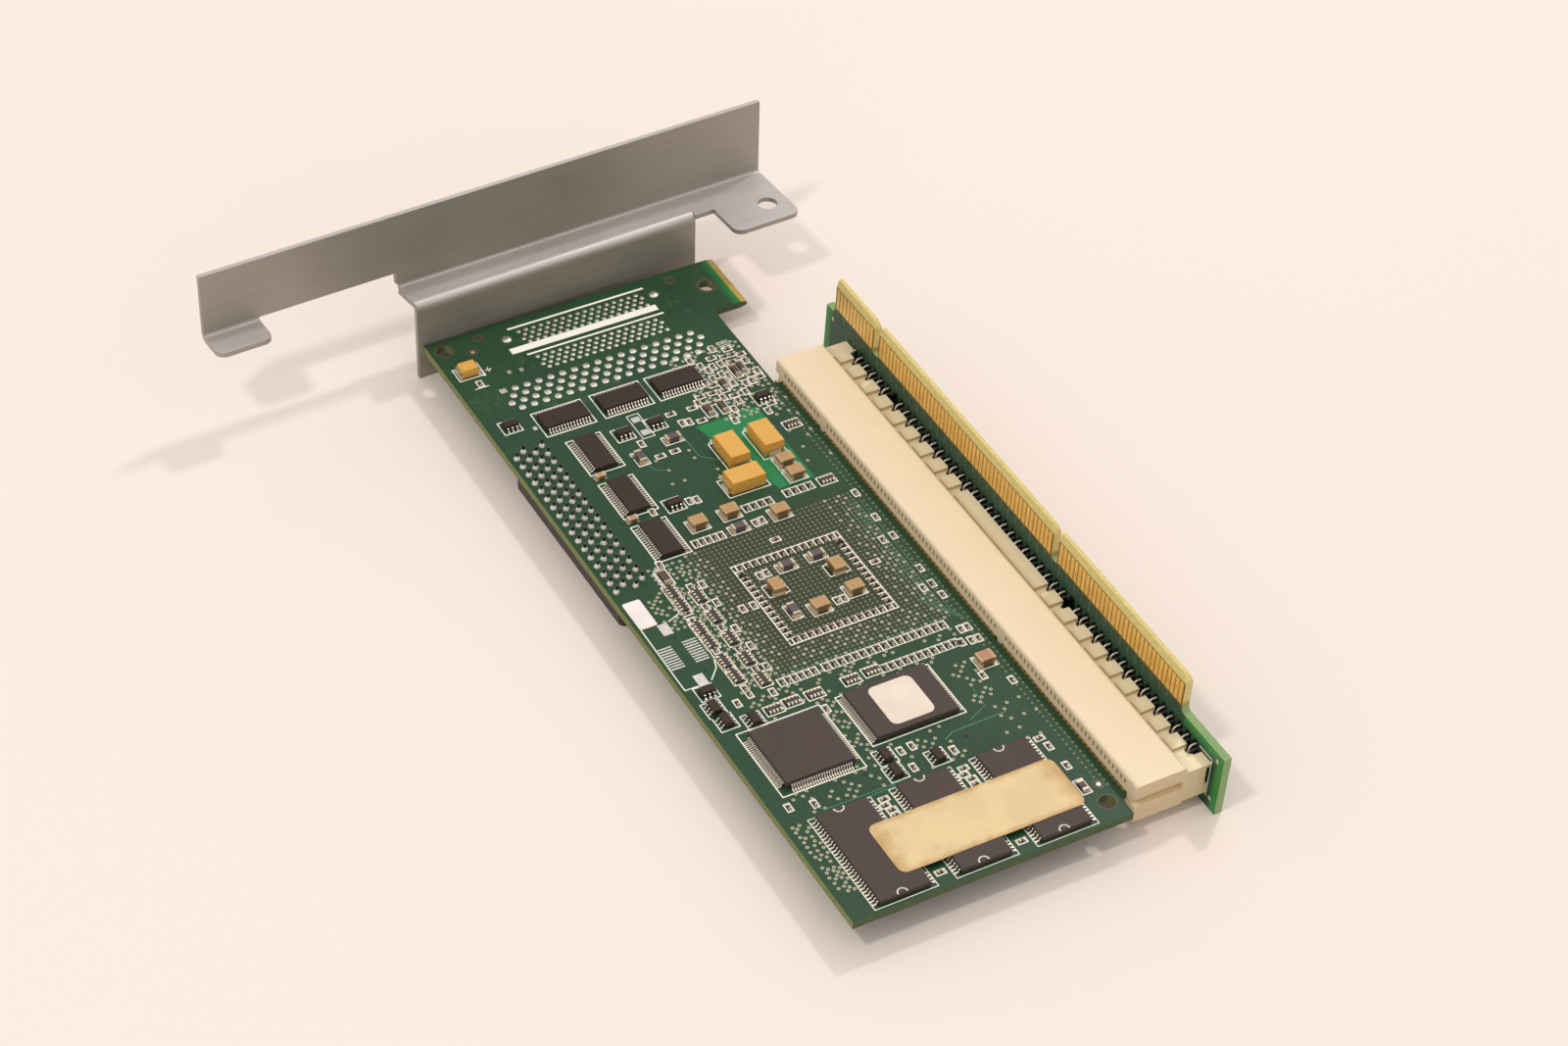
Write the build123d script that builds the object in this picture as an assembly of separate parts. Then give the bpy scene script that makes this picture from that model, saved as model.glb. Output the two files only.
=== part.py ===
from build123d import *
import os

# A storage controller card lying solder side up. Its long contact edge is plugged into the
# socket of a narrow riser board, and a folded steel bracket stands at its other end.
# Sizes are in millimetres. While the pieces are made, the origin is the corner of the
# card's top face at the bracket end, away from the socket: X runs along the card away
# from the bracket, Y across it towards the socket, and Z up. At the end everything is
# moved so that the origin is at the middle of the base.

# Boards and edge contacts
board_thickness = 1.6
contact_pitch = 1.27
contact_positions = 96
key_positions = (11, 62)
key_width = 1.9
finger_width = 1.02
finger_length = 4.91
finger_thickness = 0.05
edge_bevel_length = 1.5
edge_bevel_depth = 0.4

# Main board
first_contact = 40.63
tab_margin = 0.95
board_width = 64.4
tab_height = 7.6
key_depth = 6.5
end_tab_length = 14.65
far_margin = 4.8
tab_root_radius = 1.0
board_hole_radius = 1.6
near_hole_from_end = 3.2
near_hole_from_side = 2.87
tab_hole_from_end = 7.35
tab_hole_from_edge = 5.25
far_hole_from_end = 4.3
far_hole_from_edge = 2.73

# Socket housing
socket_from_edge = 6.0
socket_half_height = 4.47
socket_depth = 10.64
socket_end_wall = 2.74
socket_edge_radius = 0.7
slot_clearance = 0.12
ledge_depth = 3.91
ledge_top = 1.8
ledge_bottom = -4.75
bump_height = 0.8
bump_width = 3.2
bump_inset = 0.85
plain_ledge = (36, 56)
scallop_radius = 0.9
scallop_sides = 10
scallop_depth = 3.4
foot_length = 3.2
foot_top = 2.5
foot_notch_top = 1.8
foot_notch_bottom = -2.7
foot_notch_depth = 0.94
end_recess_depth = 1.2
end_recess_length = 10.2
end_recess_bottom = -1.5
end_recess_top = 0.6
key_rib_clearance = 0.2

# Socket contact tails
tail_width = 0.55
tail_thickness = 0.36
tail_length = 1.29
tail_offset = 2.15
tail_inset = 0.8

# Riser board
riser_before_socket = 8.04
riser_past_socket = 3.14
riser_shoulder = 6.0
riser_tip = 14.14
riser_contact_shift = 7.78
riser_tab_lead = 0.95
riser_tab_tail = 0.95
riser_finger_start = 7.5
riser_key_depth = 7.2
riser_corner_radius = 1.8
riser_root_radius = 1.0

# Internal cable connector
connector_height = 6.15
connector_start = 35.5
connector_length = 45.5
connector_from_side = 1.35
connector_width = 7.0
connector_corner_radius = 1.3
connector_base_height = 2.2
connector_nose_inset = 0.6
connector_nose_slant = 1.4
pin_columns = 17
pin_rows = 4
pin_pitch = 2.54
pin_row_pitch = 1.98
pin_size = 0.55
pin_height = 2.0
pin_from_end = 1.06
pin_from_side = 1.5

# Bracket, in its own frame: u runs away from the card, y along the plate and v up
sheet = 1.0
bend_radius = 0.8
bracket_lean = 3.9
bracket_yaw = 1.9
bracket_gap = 0.05
plate_start = -1.04
plate_length = 62.8
ledge_length = 67.64
ledge_level = 11.44
ledge_reach = 7.46
ledge_slant = 0.6
strip_start = -42.42
strip_length = 123.42
strip_top = 28.13
strip_lower_edge = 14.83
left_tab_level = 14.31
left_tab_length = 11.58
left_tab_reach = 6.77
right_tab_length = 15.0
right_tab_reach = 16.77
tab_corner_radius = 2.0
bracket_hole_radius = 2.05
bracket_hole_from_end = 4.43
bracket_hole_from_tip = 5.83

# Chips
lead_thickness = 0.16
chip_lift = 0.1
chip_draft = 0.1
transceiver_width = 4.4
transceiver_length = 9.7
transceiver_height = 1.0
transceiver_lead_count = 14
transceiver_pitch = 0.65
transceiver_lead_width = 0.26
transceiver_lead_span = 1.0
transceiver_row_x = 31.0
transceiver_row_y = (14.9, 27.5, 39.5)
transceiver_column_y = 15.6
transceiver_column_x = (42.85, 56.3, 69.45)
memory_length = 22.1
memory_width = 10.2
memory_height = 1.1
memory_lead_count = 27
memory_pitch = 0.8
memory_lead_width = 0.32
memory_lead_span = 0.75
memory_from_far_end = 12.25
memory_rows = (11.05, 27.35, 43.75)
flash_length = 17.0
flash_width = 12.5
flash_height = 1.2
flash_lead_count = 24
flash_pitch = 0.5
flash_lead_width = 0.22
flash_lead_span = 0.75
flash_from_far_end = 40.75
flash_y = 33.65
controller_size = 14.0
controller_height = 1.5
controller_lead_count = 25
controller_pitch = 0.5
controller_lead_width = 0.22
controller_lead_span = 1.0
controller_from_far_end = 38.8
controller_y = 12.05
processor_size = 31.0
processor_base = 1.1
processor_cap_margin = 3.5
processor_cap_height = 1.0
processor_gap = 0.3
processor_x = 92.5
processor_y = 34.6

# Capacitors, coils and other small parts. A place is x and the distance from the free side,
# or from the recessed edge where its name says so
tantalum_length = 7.3
tantalum_width = 4.3
tantalum_height = 2.8
tantalum_draft = 0.12
tantalums_along_x_from_edge = ((54.2, 17.9), (53.9, 10.3))
tantalums_along_y_from_edge = ((62.4, 19.7),)
terminal_reach = 0.4
terminal_width = 2.4
terminal_height = 1.3
small_tantalum_length = 3.5
small_tantalum_width = 2.8
small_tantalum_height = 1.9
small_tantalum_place = (11.05, 4.2)
ceramic_length = 3.2
ceramic_width = 2.5
ceramic_height = 1.6
ceramic_cap = 0.5
ceramics_along_x = ((90.4, 28.3), (90.4, 41.2))
ceramics_along_y = ((68.9, 23.6), (68.7, 30.5), (72.7, 39.1), (98.2, 33.1), (96.9, 41.2))
ceramics_from_edge = ((60.5, 9.7), (64.5, 9.7))
far_ceramic_from_end = 43.6
far_ceramic_from_edge = 3.7
coil_length = 3.1
coil_width = 1.5
coil_height = 1.1
coils_along_x = ((47.8, 22.7), (97.0, 28.2))
coils_along_y = ((45.5, 30.9), (73.1, 30.1), (86.0, 33.0), (85.9, 39.4))
regulator_length = 3.0
regulator_width = 1.7
regulator_height = 1.1
regulators_along_y = ((28.9, 4.5), (40.2, 23.0), (40.1, 30.0), (62.0, 22.3))
regulators_from_edge = ((42.2, 4.3),)
regulators_along_y_from_far_end = ((58.7, 4.0),)
regulators_along_x_from_far_end = (
    (54.5, 3.2), (50.7, 3.5), (48.9, 8.2), (30.9, 24.6), (26.8, 24.3), (26.8, 32.9))
bypass_length = 1.0
bypass_width = 0.55
bypass_height = 0.5
bypass_ring_start = (82.6, 24.4)
bypass_ring_columns = 13
bypass_ring_rows = 14
bypass_pitch = 1.5
network_length = 3.2
network_width = 1.5
network_height = 0.6
network_outer_y = 10.6
network_outer_x = (82.9, 86.8, 93.5, 97.4, 103.0, 107.2)
network_inner_y = 14.6
network_inner_x = (86.0, 92.0, 98.2, 104.0, 109.8)
dome_radius = 1.05
dome_top_radius = 0.55
dome_height = 0.55
dome_sides = 12
dome_x = 5.25
dome_y = (15.5, 48.2)

# Labels
label_thickness = 0.12
label_corner = 0.5
part_label_width = 12.2
part_label_overhang = 1.3
part_label_from_far_end = 10.9
flash_label_length = 9.0
flash_label_width = 10.0
side_label_length = 7.4
side_label_width = 3.6
side_label_place = (85.5, 2.55)

# Places that several pieces share
contacts = [n for n in range(contact_positions) if n not in key_positions and n - 1 not in key_positions]
last_contact = first_contact + (contact_positions - 1) * contact_pitch
tab_start = first_contact - tab_margin
tab_end = last_contact + tab_margin
board_length = tab_end + far_margin
recess_edge = board_width - tab_height
board_underside = -board_thickness
board_middle = -board_thickness / 2
table = board_underside - connector_height
key_centres = [first_contact + (n + 0.5) * contact_pitch for n in key_positions]
socket_start = tab_start - socket_end_wall
socket_end = tab_end + socket_end_wall
socket_face = board_width - socket_from_edge
socket_back = socket_face + socket_depth
ledge_back = socket_back + ledge_depth
riser_face = ledge_back + tail_length
riser_start = socket_start - riser_before_socket
riser_end = socket_end + riser_past_socket
riser_first_contact = first_contact - riser_contact_shift
riser_key_centres = [centre - riser_contact_shift for centre in key_centres]
tail_places = [n for n in contacts if n % 2 == 0]
scalloped = [n for n in range(2, contact_positions, 4) if not plain_ledge[0] < n < plain_ledge[1]]


def slab(x_range, y_range, z_range):
    """A block between pairs of coordinates."""
    size = [high - low for low, high in (x_range, y_range, z_range)]
    middle = [(high + low) / 2 for low, high in (x_range, y_range, z_range)]
    return Pos(*middle) * Box(*size)


def block_on(base, x, y, length, width, height):
    """A block whose base is centred on (x, y) at the height base."""
    return Pos(x, y, base + height / 2) * Box(length, width, height)


def outline(points):
    """A flat face inside a closed run of straight lines."""
    return make_face(Polyline(*points, close=True))


def rounded(face, corners, radius):
    """Round the corners of a face that lie at the given points."""
    picked = [v for v in face.vertices() for x, y in corners if abs(v.X - x) + abs(v.Y - y) < 0.001]
    return fillet(picked, radius)


def along_x(face, start, length):
    """Extrude a face drawn in Y and Z from X = start."""
    return extrude(Pos(start, 0, 0) * (Plane.YZ * face), amount=length)


def along_y(face, start, length):
    """Extrude a face drawn in X and Z from Y = start."""
    return extrude(Pos(0, start, 0) * (Plane.XZ * face), amount=-length)


def group(pieces):
    """Separate solids kept together as one sub-part."""
    return Compound([solid for piece in pieces for solid in piece.solids()])


def turned(piece, x, y, angle=0):
    """A copy of a piece made at the origin, turned about Z and moved to (x, y)."""
    return piece.moved(Location((x, y, 0), (0, 0, angle)))


def edge_bevel(start, length, edge, surface, inward):
    """The wedge that a bevel takes from one face of a board's contact edge."""
    depth = edge_bevel_depth * inward
    face = outline([(edge - edge_bevel_length, surface), (edge, surface), (edge, surface + depth)])
    return along_x(face, start, length)


def make_main_board():
    """The card: two tabs on the socket side, bevelled, with key notches and three holes."""
    shape = outline([
        (0, 0), (board_length, 0), (board_length, recess_edge), (tab_end, recess_edge),
        (tab_end, board_width), (tab_start, board_width), (tab_start, recess_edge),
        (end_tab_length, recess_edge), (end_tab_length, board_width), (0, board_width)])
    roots = [(tab_end, recess_edge), (tab_start, recess_edge), (end_tab_length, recess_edge)]
    shape = rounded(shape, roots, tab_root_radius)
    for centre in key_centres:
        shape -= Pos(centre, board_width - key_depth / 2) * Rectangle(key_width, key_depth)
    holes = [
        (near_hole_from_end, near_hole_from_side),
        (tab_hole_from_end, board_width - tab_hole_from_edge),
        (board_length - far_hole_from_end, recess_edge - far_hole_from_edge)]
    for x, y in holes:
        shape -= Pos(x, y) * Circle(board_hole_radius)
    board = extrude(shape, amount=-board_thickness)
    board -= edge_bevel(0, board_length, board_width, 0, -1)
    board -= edge_bevel(0, board_length, board_width, board_underside, 1)
    return board


def make_riser_board():
    """The riser: a tall narrow board with its own contact edge upwards, notched and bevelled."""
    tab_low = riser_first_contact - riser_tab_lead
    tab_high = tab_low + (last_contact - first_contact) + riser_tab_lead + riser_tab_tail
    shape = outline([
        (riser_start, table), (riser_end, table), (riser_end, riser_shoulder),
        (tab_high, riser_shoulder), (tab_high, riser_tip), (tab_low, riser_tip),
        (tab_low, riser_shoulder), (riser_start, riser_shoulder)])
    for centre in riser_key_centres:
        notch = Rectangle(key_width, riser_key_depth)
        shape -= Pos(centre, riser_tip - riser_key_depth / 2) * notch
    roots = [(tab_high, riser_shoulder), (tab_low, riser_shoulder)]
    shape = rounded(shape, roots, riser_root_radius)
    trailing = [centre - key_width / 2 for centre in riser_key_centres] + [tab_high]
    shape = rounded(shape, [(x, riser_tip) for x in trailing], riser_corner_radius)
    board = along_y(shape, riser_face, board_thickness)
    for surface, inward in ((riser_face, 1), (riser_face + board_thickness, -1)):
        wedge = outline([
            (surface, riser_tip - edge_bevel_length), (surface, riser_tip),
            (surface + edge_bevel_depth * inward, riser_tip)])
        board -= along_x(wedge, riser_start, riser_end - riser_start)
    return board


def make_riser_fingers():
    """Gold contact strips on both faces of the riser's free edge."""
    fronts = (riser_face - finger_thickness, riser_face + board_thickness)
    height = (riser_finger_start, riser_finger_start + finger_length)
    fingers = []
    for n in contacts:
        x = riser_first_contact + n * contact_pitch
        for y in fronts:
            sides = (x - finger_width / 2, x + finger_width / 2)
            fingers.append(slab(sides, (y, y + finger_thickness), height))
    return group(fingers)


def make_slot_housing():
    """The moulded socket: a rounded body, a castellated ledge, two feet and the card slot."""
    low = board_middle - socket_half_height
    high = board_middle + socket_half_height
    length = socket_end - socket_start
    body_corners = [(socket_face, low), (socket_face, high), (socket_back, high), (socket_back, low)]
    body = rounded(outline(body_corners), body_corners[:3], socket_edge_radius)
    housing = along_x(body, socket_start, length)
    whole = (socket_start, socket_end)
    housing += slab(whole, (socket_back - socket_edge_radius, ledge_back), (ledge_bottom, ledge_top))
    plain_first, plain_last = plain_ledge
    bumps = [(n, n) for n in range(0, contact_positions, 4) if not plain_first <= n <= plain_last]
    bumps.append(plain_ledge)
    for first, last in bumps:
        ends = (
            first_contact + first * contact_pitch - bump_width / 2,
            first_contact + last * contact_pitch + bump_width / 2)
        height = (ledge_top, ledge_top + bump_height)
        housing += slab(ends, (socket_back + bump_inset, ledge_back), height)
    scallop = extrude(RegularPolygon(scallop_radius, scallop_sides), amount=-scallop_depth)
    for n in scalloped:
        x = first_contact + n * contact_pitch
        housing -= Pos(x, ledge_back, ledge_top + bump_height) * scallop
    for start in (socket_start, socket_end - foot_length):
        foot = (start, start + foot_length)
        housing += slab(foot, (socket_back - socket_edge_radius, riser_face), (ledge_bottom, foot_top))
        notch = (foot_notch_bottom, foot_notch_top)
        housing -= slab(foot, (riser_face - foot_notch_depth, riser_face), notch)
    slot = (tab_start - slot_clearance, tab_end + slot_clearance)
    slot_height = (board_underside - slot_clearance, slot_clearance)
    housing -= slab(slot, (socket_face, board_width + slot_clearance), slot_height)
    rib_half = key_width / 2 - key_rib_clearance
    for centre in key_centres:
        rib = (centre - rib_half, centre + rib_half)
        housing += slab(rib, (socket_face, board_width + slot_clearance), slot_height)
    recess_height = (end_recess_bottom, end_recess_top)
    recess = (socket_face, socket_face + end_recess_length)
    housing -= slab((socket_start, socket_start + end_recess_depth), recess, recess_height)
    housing -= slab((socket_end - end_recess_depth, socket_end), recess, recess_height)
    return housing


def make_slot_contacts():
    """The outer rows of contact tails, which cross from the socket to the riser."""
    tails = []
    for n in tail_places:
        x = first_contact + n * contact_pitch
        sides = (x - tail_width / 2, x + tail_width / 2)
        upper_start = ledge_back - (tail_inset if n in scalloped else 0)
        for start, offset in ((upper_start, tail_offset), (ledge_back, -tail_offset)):
            z = board_middle + offset
            tails.append(slab(sides, (start, riser_face), (z - tail_thickness / 2, z + tail_thickness / 2)))
    return group(tails)


def make_internal_connector_housing():
    """The cable connector under the card: a flanged base and a nose with one shorter side."""
    x = connector_start + connector_length / 2
    y = connector_from_side + connector_width / 2
    base = RectangleRounded(connector_length, connector_width, connector_corner_radius)
    housing = extrude(Pos(x, y, board_underside) * base, amount=-connector_base_height)
    half_length = connector_length / 2 - connector_nose_inset
    half_width = connector_width / 2 - connector_nose_inset
    short_half = half_length - connector_nose_slant
    corners = [
        (-half_length, -half_width), (half_length, -half_width),
        (short_half, half_width), (-short_half, half_width)]
    nose = rounded(outline(corners), corners, connector_corner_radius)
    return housing + extrude(Pos(x, y, board_underside) * nose, amount=-connector_height)


def make_internal_connector_pins():
    """The connector's pin tips, in four staggered rows, above the card."""
    pins = []
    for row in range(pin_rows):
        stagger = pin_pitch / 2 if row % 2 == 0 else 0
        y = pin_from_side + row * pin_row_pitch
        for column in range(pin_columns):
            x = connector_start + pin_from_end + stagger + column * pin_pitch
            pins.append(block_on(0, x, y, pin_size, pin_size, pin_height))
    return group(pins)


def tab_section(level, reach):
    """The section of a tab that folds forward from the upper strip."""
    front = -ledge_reach
    inside = (front, level)
    outside = (front - sheet, level - sheet)
    face = outline([
        (front + reach, level), inside, (front, strip_top), (front - sheet, strip_top),
        outside, (front + reach, level - sheet)])
    face = rounded(face, [inside], bend_radius)
    return rounded(face, [outside], bend_radius + sheet)


def plate_section(plate_bottom):
    """The double fold from the lower plate over the ledge to the upper strip."""
    front = -ledge_reach
    top_bend = (0, ledge_level)
    under_bend = (-sheet, ledge_level - sheet)
    inside = (front, ledge_level)
    outside = (front - sheet, ledge_level - sheet)
    face = outline([
        (0, plate_bottom), top_bend, inside, (front, strip_top), (front - sheet, strip_top),
        outside, under_bend, (-sheet, plate_bottom)])
    face = rounded(face, [under_bend, inside], bend_radius)
    return rounded(face, [top_bend, outside], bend_radius + sheet)


def make_bracket():
    """The steel bracket, one folded sheet, leaning and turned a little against the card."""
    lean = Rot(0, -bracket_lean, 0)
    corner_drop = (lean * Pos(-sheet, 0, 0)).position.Z
    plate_bottom = (table - board_underside - corner_drop) / (lean * Pos(0, 0, 1)).position.Z
    bracket = along_y(plate_section(plate_bottom), plate_start, plate_length)
    strip = (-ledge_reach - sheet, -ledge_reach)
    strip_end = strip_start + strip_length
    ledge_start = plate_start - ledge_slant
    wing_back = -ledge_reach + bend_radius
    wing = outline([(0, plate_start), (wing_back, ledge_start), (wing_back, plate_start)])
    bracket += extrude(Pos(0, 0, ledge_level) * wing, amount=-sheet)
    ledge = tab_section(ledge_level, ledge_reach)
    plate_end = plate_start + plate_length
    bracket += along_y(ledge, plate_end, ledge_start + ledge_length - plate_end)
    bracket += slab(strip, (strip_start, strip_end), (strip_lower_edge, strip_top))
    bracket += slab(strip, (ledge_start, strip_end), (ledge_level + bend_radius, strip_top))
    right_start = strip_end - right_tab_length
    bracket += along_y(tab_section(ledge_level, right_tab_reach), right_start, right_tab_length)
    bracket += along_y(tab_section(left_tab_level, left_tab_reach), strip_start, left_tab_length)
    hole_x = -ledge_reach + right_tab_reach - bracket_hole_from_tip
    hole_y = strip_end - bracket_hole_from_end
    bracket -= Pos(hole_x, hole_y, ledge_level - sheet / 2) * Cylinder(bracket_hole_radius, 2 * sheet)
    tips = ((-ledge_reach + right_tab_reach, right_start, right_tab_length),
            (-ledge_reach + left_tab_reach, strip_start, left_tab_length))
    corners = []
    for tip, start, length in tips:
        for edge in bracket.edges().filter_by(Axis.Z):
            middle = edge.center()
            at_end = min(abs(middle.Y - start), abs(middle.Y - start - length)) < 0.01
            if at_end and abs(middle.X - tip) < 0.01:
                corners.append(edge)
    bracket = fillet(corners, tab_corner_radius)
    place = Pos(-bracket_gap, 0, board_underside) * Rot(0, 0, bracket_yaw) * lean
    return place * bracket


def chip_body(x, y, length, width, height, draft=chip_draft, lift=chip_lift):
    """A moulded chip, widest at its parting line."""
    levels = ((lift, draft), (lift + height / 2, 0), (lift + height, draft))
    rings = [Pos(x, y, z) * Rectangle(length - 2 * inset, width - 2 * inset) for z, inset in levels]
    return loft(rings, ruled=True)


def lead_row(count, pitch, width, span, shoulder, reach):
    """A row of bent leads along Y on the +X side of a chip whose half width is reach."""
    profile = outline([
        (reach, shoulder), (reach, shoulder - lead_thickness),
        (reach + span / 2, 0), (reach + span, 0)])
    lead = along_y(profile, -width / 2, width)
    first = -(count - 1) * pitch / 2
    return [lead.moved(Location((0, first + i * pitch, 0))) for i in range(count)]


def leads_at(row, x, y, angles):
    """Copies of a lead row round a chip at (x, y)."""
    return [turned(lead, x, y, angle) for angle in angles for lead in row]


def shoulder_height(height):
    """Where the leads leave a chip: its parting line."""
    return chip_lift + height / 2 + lead_thickness / 2


def make_transceivers():
    """Six small bus chips in a row and a column, with leads on their long sides."""
    row = lead_row(
        transceiver_lead_count, transceiver_pitch, transceiver_lead_width, transceiver_lead_span,
        shoulder_height(transceiver_height), transceiver_width / 2)
    bodies = []
    leads = []
    for y in transceiver_row_y:
        bodies.append(chip_body(
            transceiver_row_x, y, transceiver_width, transceiver_length, transceiver_height))
        leads += leads_at(row, transceiver_row_x, y, (0, 180))
    for x in transceiver_column_x:
        bodies.append(chip_body(
            x, transceiver_column_y, transceiver_length, transceiver_width, transceiver_height))
        leads += leads_at(row, x, transceiver_column_y, (90, 270))
    return group(bodies), group(leads)


def make_memories():
    """Three memory chips side by side at the far end, with leads on their long sides."""
    x = board_length - memory_from_far_end
    row = lead_row(
        memory_lead_count, memory_pitch, memory_lead_width, memory_lead_span,
        shoulder_height(memory_height), memory_width / 2)
    bodies = [chip_body(x, y, memory_length, memory_width, memory_height) for y in memory_rows]
    leads = [lead for y in memory_rows for lead in leads_at(row, x, y, (90, 270))]
    return group(bodies), group(leads)


def make_flash():
    """The firmware chip, with leads on its two short ends."""
    x = board_length - flash_from_far_end
    row = lead_row(
        flash_lead_count, flash_pitch, flash_lead_width, flash_lead_span,
        shoulder_height(flash_height), flash_length / 2)
    body = chip_body(x, flash_y, flash_width, flash_length, flash_height)
    return body, group(leads_at(row, x, flash_y, (90, 270)))


def make_bus_controller():
    """The square chip with leads on all four sides."""
    x = board_length - controller_from_far_end
    row = lead_row(
        controller_lead_count, controller_pitch, controller_lead_width, controller_lead_span,
        shoulder_height(controller_height), controller_size / 2)
    body = chip_body(x, controller_y, controller_size, controller_size, controller_height)
    return body, group(leads_at(row, x, controller_y, (0, 90, 180, 270)))


def make_processor():
    """The large chip under the card: a square base board with a moulded cap."""
    top = board_underside - processor_gap
    middle = top - processor_base
    cap = processor_size - 2 * processor_cap_margin
    chip = block_on(middle, processor_x, processor_y, processor_size, processor_size, processor_base)
    rings = [
        Pos(processor_x, processor_y, middle) * Rectangle(cap, cap),
        Pos(processor_x, processor_y, middle - processor_cap_height) * Rectangle(
            cap - processor_cap_height, cap - processor_cap_height)]
    return chip + loft(rings, ruled=True)


def from_edge(places):
    """Places measured from the recessed edge, turned into places from the free side."""
    return tuple((x, recess_edge - distance) for x, distance in places)


def make_tantalums():
    """Moulded capacitors with folded terminals at their ends."""
    large = chip_body(0, 0, tantalum_length, tantalum_width, tantalum_height, tantalum_draft, 0)
    small = chip_body(
        0, 0, small_tantalum_length, small_tantalum_width, small_tantalum_height, tantalum_draft, 0)
    sizes = [(large, tantalum_length, x, y, 0) for x, y in from_edge(tantalums_along_x_from_edge)]
    sizes += [(large, tantalum_length, x, y, 90) for x, y in from_edge(tantalums_along_y_from_edge)]
    sizes.append((small, small_tantalum_length, *small_tantalum_place, 90))
    bodies = []
    terminals = []
    for body, length, x, y, angle in sizes:
        bodies.append(turned(body, x, y, angle))
        for side in (-1, 1):
            middle = side * (length + terminal_reach) / 2
            tab = block_on(0, middle, 0, terminal_reach, terminal_width, terminal_height)
            terminals.append(turned(tab, x, y, angle))
    return group(bodies), group(terminals)


def capped_block(length, width, height, cap):
    """A small part at the origin: its middle, and its two metal ends."""
    middle = block_on(0, 0, 0, length - 2 * cap, width, height)
    offset = (length - cap) / 2
    ends = [block_on(0, side * offset, 0, cap, width, height) for side in (-1, 1)]
    return middle, ends


def capped_parts(size, along_x_places, along_y_places):
    """Copies of a small part lying along X or Y: their middles, and their ends."""
    middle, ends = capped_block(*size)
    places = [(x, y, 0) for x, y in along_x_places] + [(x, y, 90) for x, y in along_y_places]
    middles = [turned(middle, *place) for place in places]
    caps = [turned(end, *place) for place in places for end in ends]
    return group(middles), group(caps)


def make_regulators():
    """Small moulded chips scattered between the large ones."""
    places = [(x, y, 90) for x, y in regulators_along_y + from_edge(regulators_from_edge)]
    places += [(board_length - x, y, 90) for x, y in regulators_along_y_from_far_end]
    places += [(board_length - x, y, 0) for x, y in regulators_along_x_from_far_end]
    body = chip_body(0, 0, regulator_length, regulator_width, regulator_height)
    return group([turned(body, *place) for place in places])


def make_bypass_capacitors():
    """The square ring of small capacitors behind the processor."""
    left, near = bypass_ring_start
    far = near + bypass_ring_rows * bypass_pitch
    right = left + (bypass_ring_columns + 1) * bypass_pitch
    along = [near + (i + 0.5) * bypass_pitch for i in range(bypass_ring_rows)]
    across = [left + (i + 1) * bypass_pitch for i in range(bypass_ring_columns)]
    places = [(x, y, 0) for x in (left, right) for y in along]
    places += [(x, y, 90) for y in (near, far) for x in across]
    part = block_on(0, 0, 0, bypass_length, bypass_width, bypass_height)
    return group([turned(part, *place) for place in places])


def make_resistor_networks():
    """Two rows of flat resistor packs along the card's free side."""
    places = [(x, network_outer_y) for x in network_outer_x]
    places += [(x, network_inner_y) for x in network_inner_x]
    return group([
        block_on(0, x, y, network_length, network_width, network_height) for x, y in places])


def make_solder_domes():
    """Two large solder domes beside the empty connector footprint."""
    dome = loft([
        RegularPolygon(dome_radius, dome_sides),
        Pos(0, 0, dome_height) * RegularPolygon(dome_top_radius, dome_sides)])
    return group([turned(dome, dome_x, y) for y in dome_y])


def label(x, y, base, length, width):
    """A thin label with its corners cut, lying at the height base."""
    shape = chamfer(Rectangle(length, width).vertices(), label_corner)
    return extrude(Pos(x, y, base) * shape, amount=label_thickness)


def make_labels():
    """The long label over the memory chips, the firmware chip's label and the side label."""
    low = memory_rows[0] + part_label_overhang
    high = memory_rows[-1] + memory_width / 2 + part_label_overhang
    part_label = label(
        board_length - part_label_from_far_end, (low + high) / 2, chip_lift + memory_height,
        part_label_width, high - low)
    flash_label = label(
        board_length - flash_from_far_end, flash_y, chip_lift + flash_height,
        flash_label_width, flash_label_length)
    side_label = label(*side_label_place, 0, side_label_length, side_label_width)
    return part_label, flash_label, side_label


nodes = {
    "main_board": make_main_board(),
    "riser_board": make_riser_board(),
    "riser_fingers": make_riser_fingers(),
    "slot_housing": make_slot_housing(),
    "slot_contacts": make_slot_contacts(),
    "bracket": make_bracket(),
    "internal_connector_housing": make_internal_connector_housing(),
    "internal_connector_pins": make_internal_connector_pins(),
    "io_processor": make_processor(),
    "small_regulators": make_regulators(),
    "bypass_capacitors": make_bypass_capacitors(),
    "resistor_networks": make_resistor_networks(),
    "solder_domes": make_solder_domes(),
}
nodes["transceiver_chips"], nodes["transceiver_leads"] = make_transceivers()
nodes["memory_chips"], nodes["memory_leads"] = make_memories()
nodes["flash_chip"], nodes["flash_leads"] = make_flash()
nodes["bus_controller"], nodes["bus_controller_leads"] = make_bus_controller()
nodes["tantalum_capacitors"], nodes["tantalum_terminals"] = make_tantalums()
nodes["ceramic_capacitors"], nodes["ceramic_capacitor_ends"] = capped_parts(
    (ceramic_length, ceramic_width, ceramic_height, ceramic_cap),
    ceramics_along_x,
    ceramics_along_y + from_edge(
        ceramics_from_edge + ((board_length - far_ceramic_from_end, far_ceramic_from_edge),)))
nodes["filter_coils"], nodes["filter_coil_ends"] = capped_parts(
    (coil_length, coil_width, coil_height, ceramic_cap), coils_along_x, coils_along_y)
nodes["part_label"], nodes["flash_label"], nodes["side_label"] = make_labels()

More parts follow.
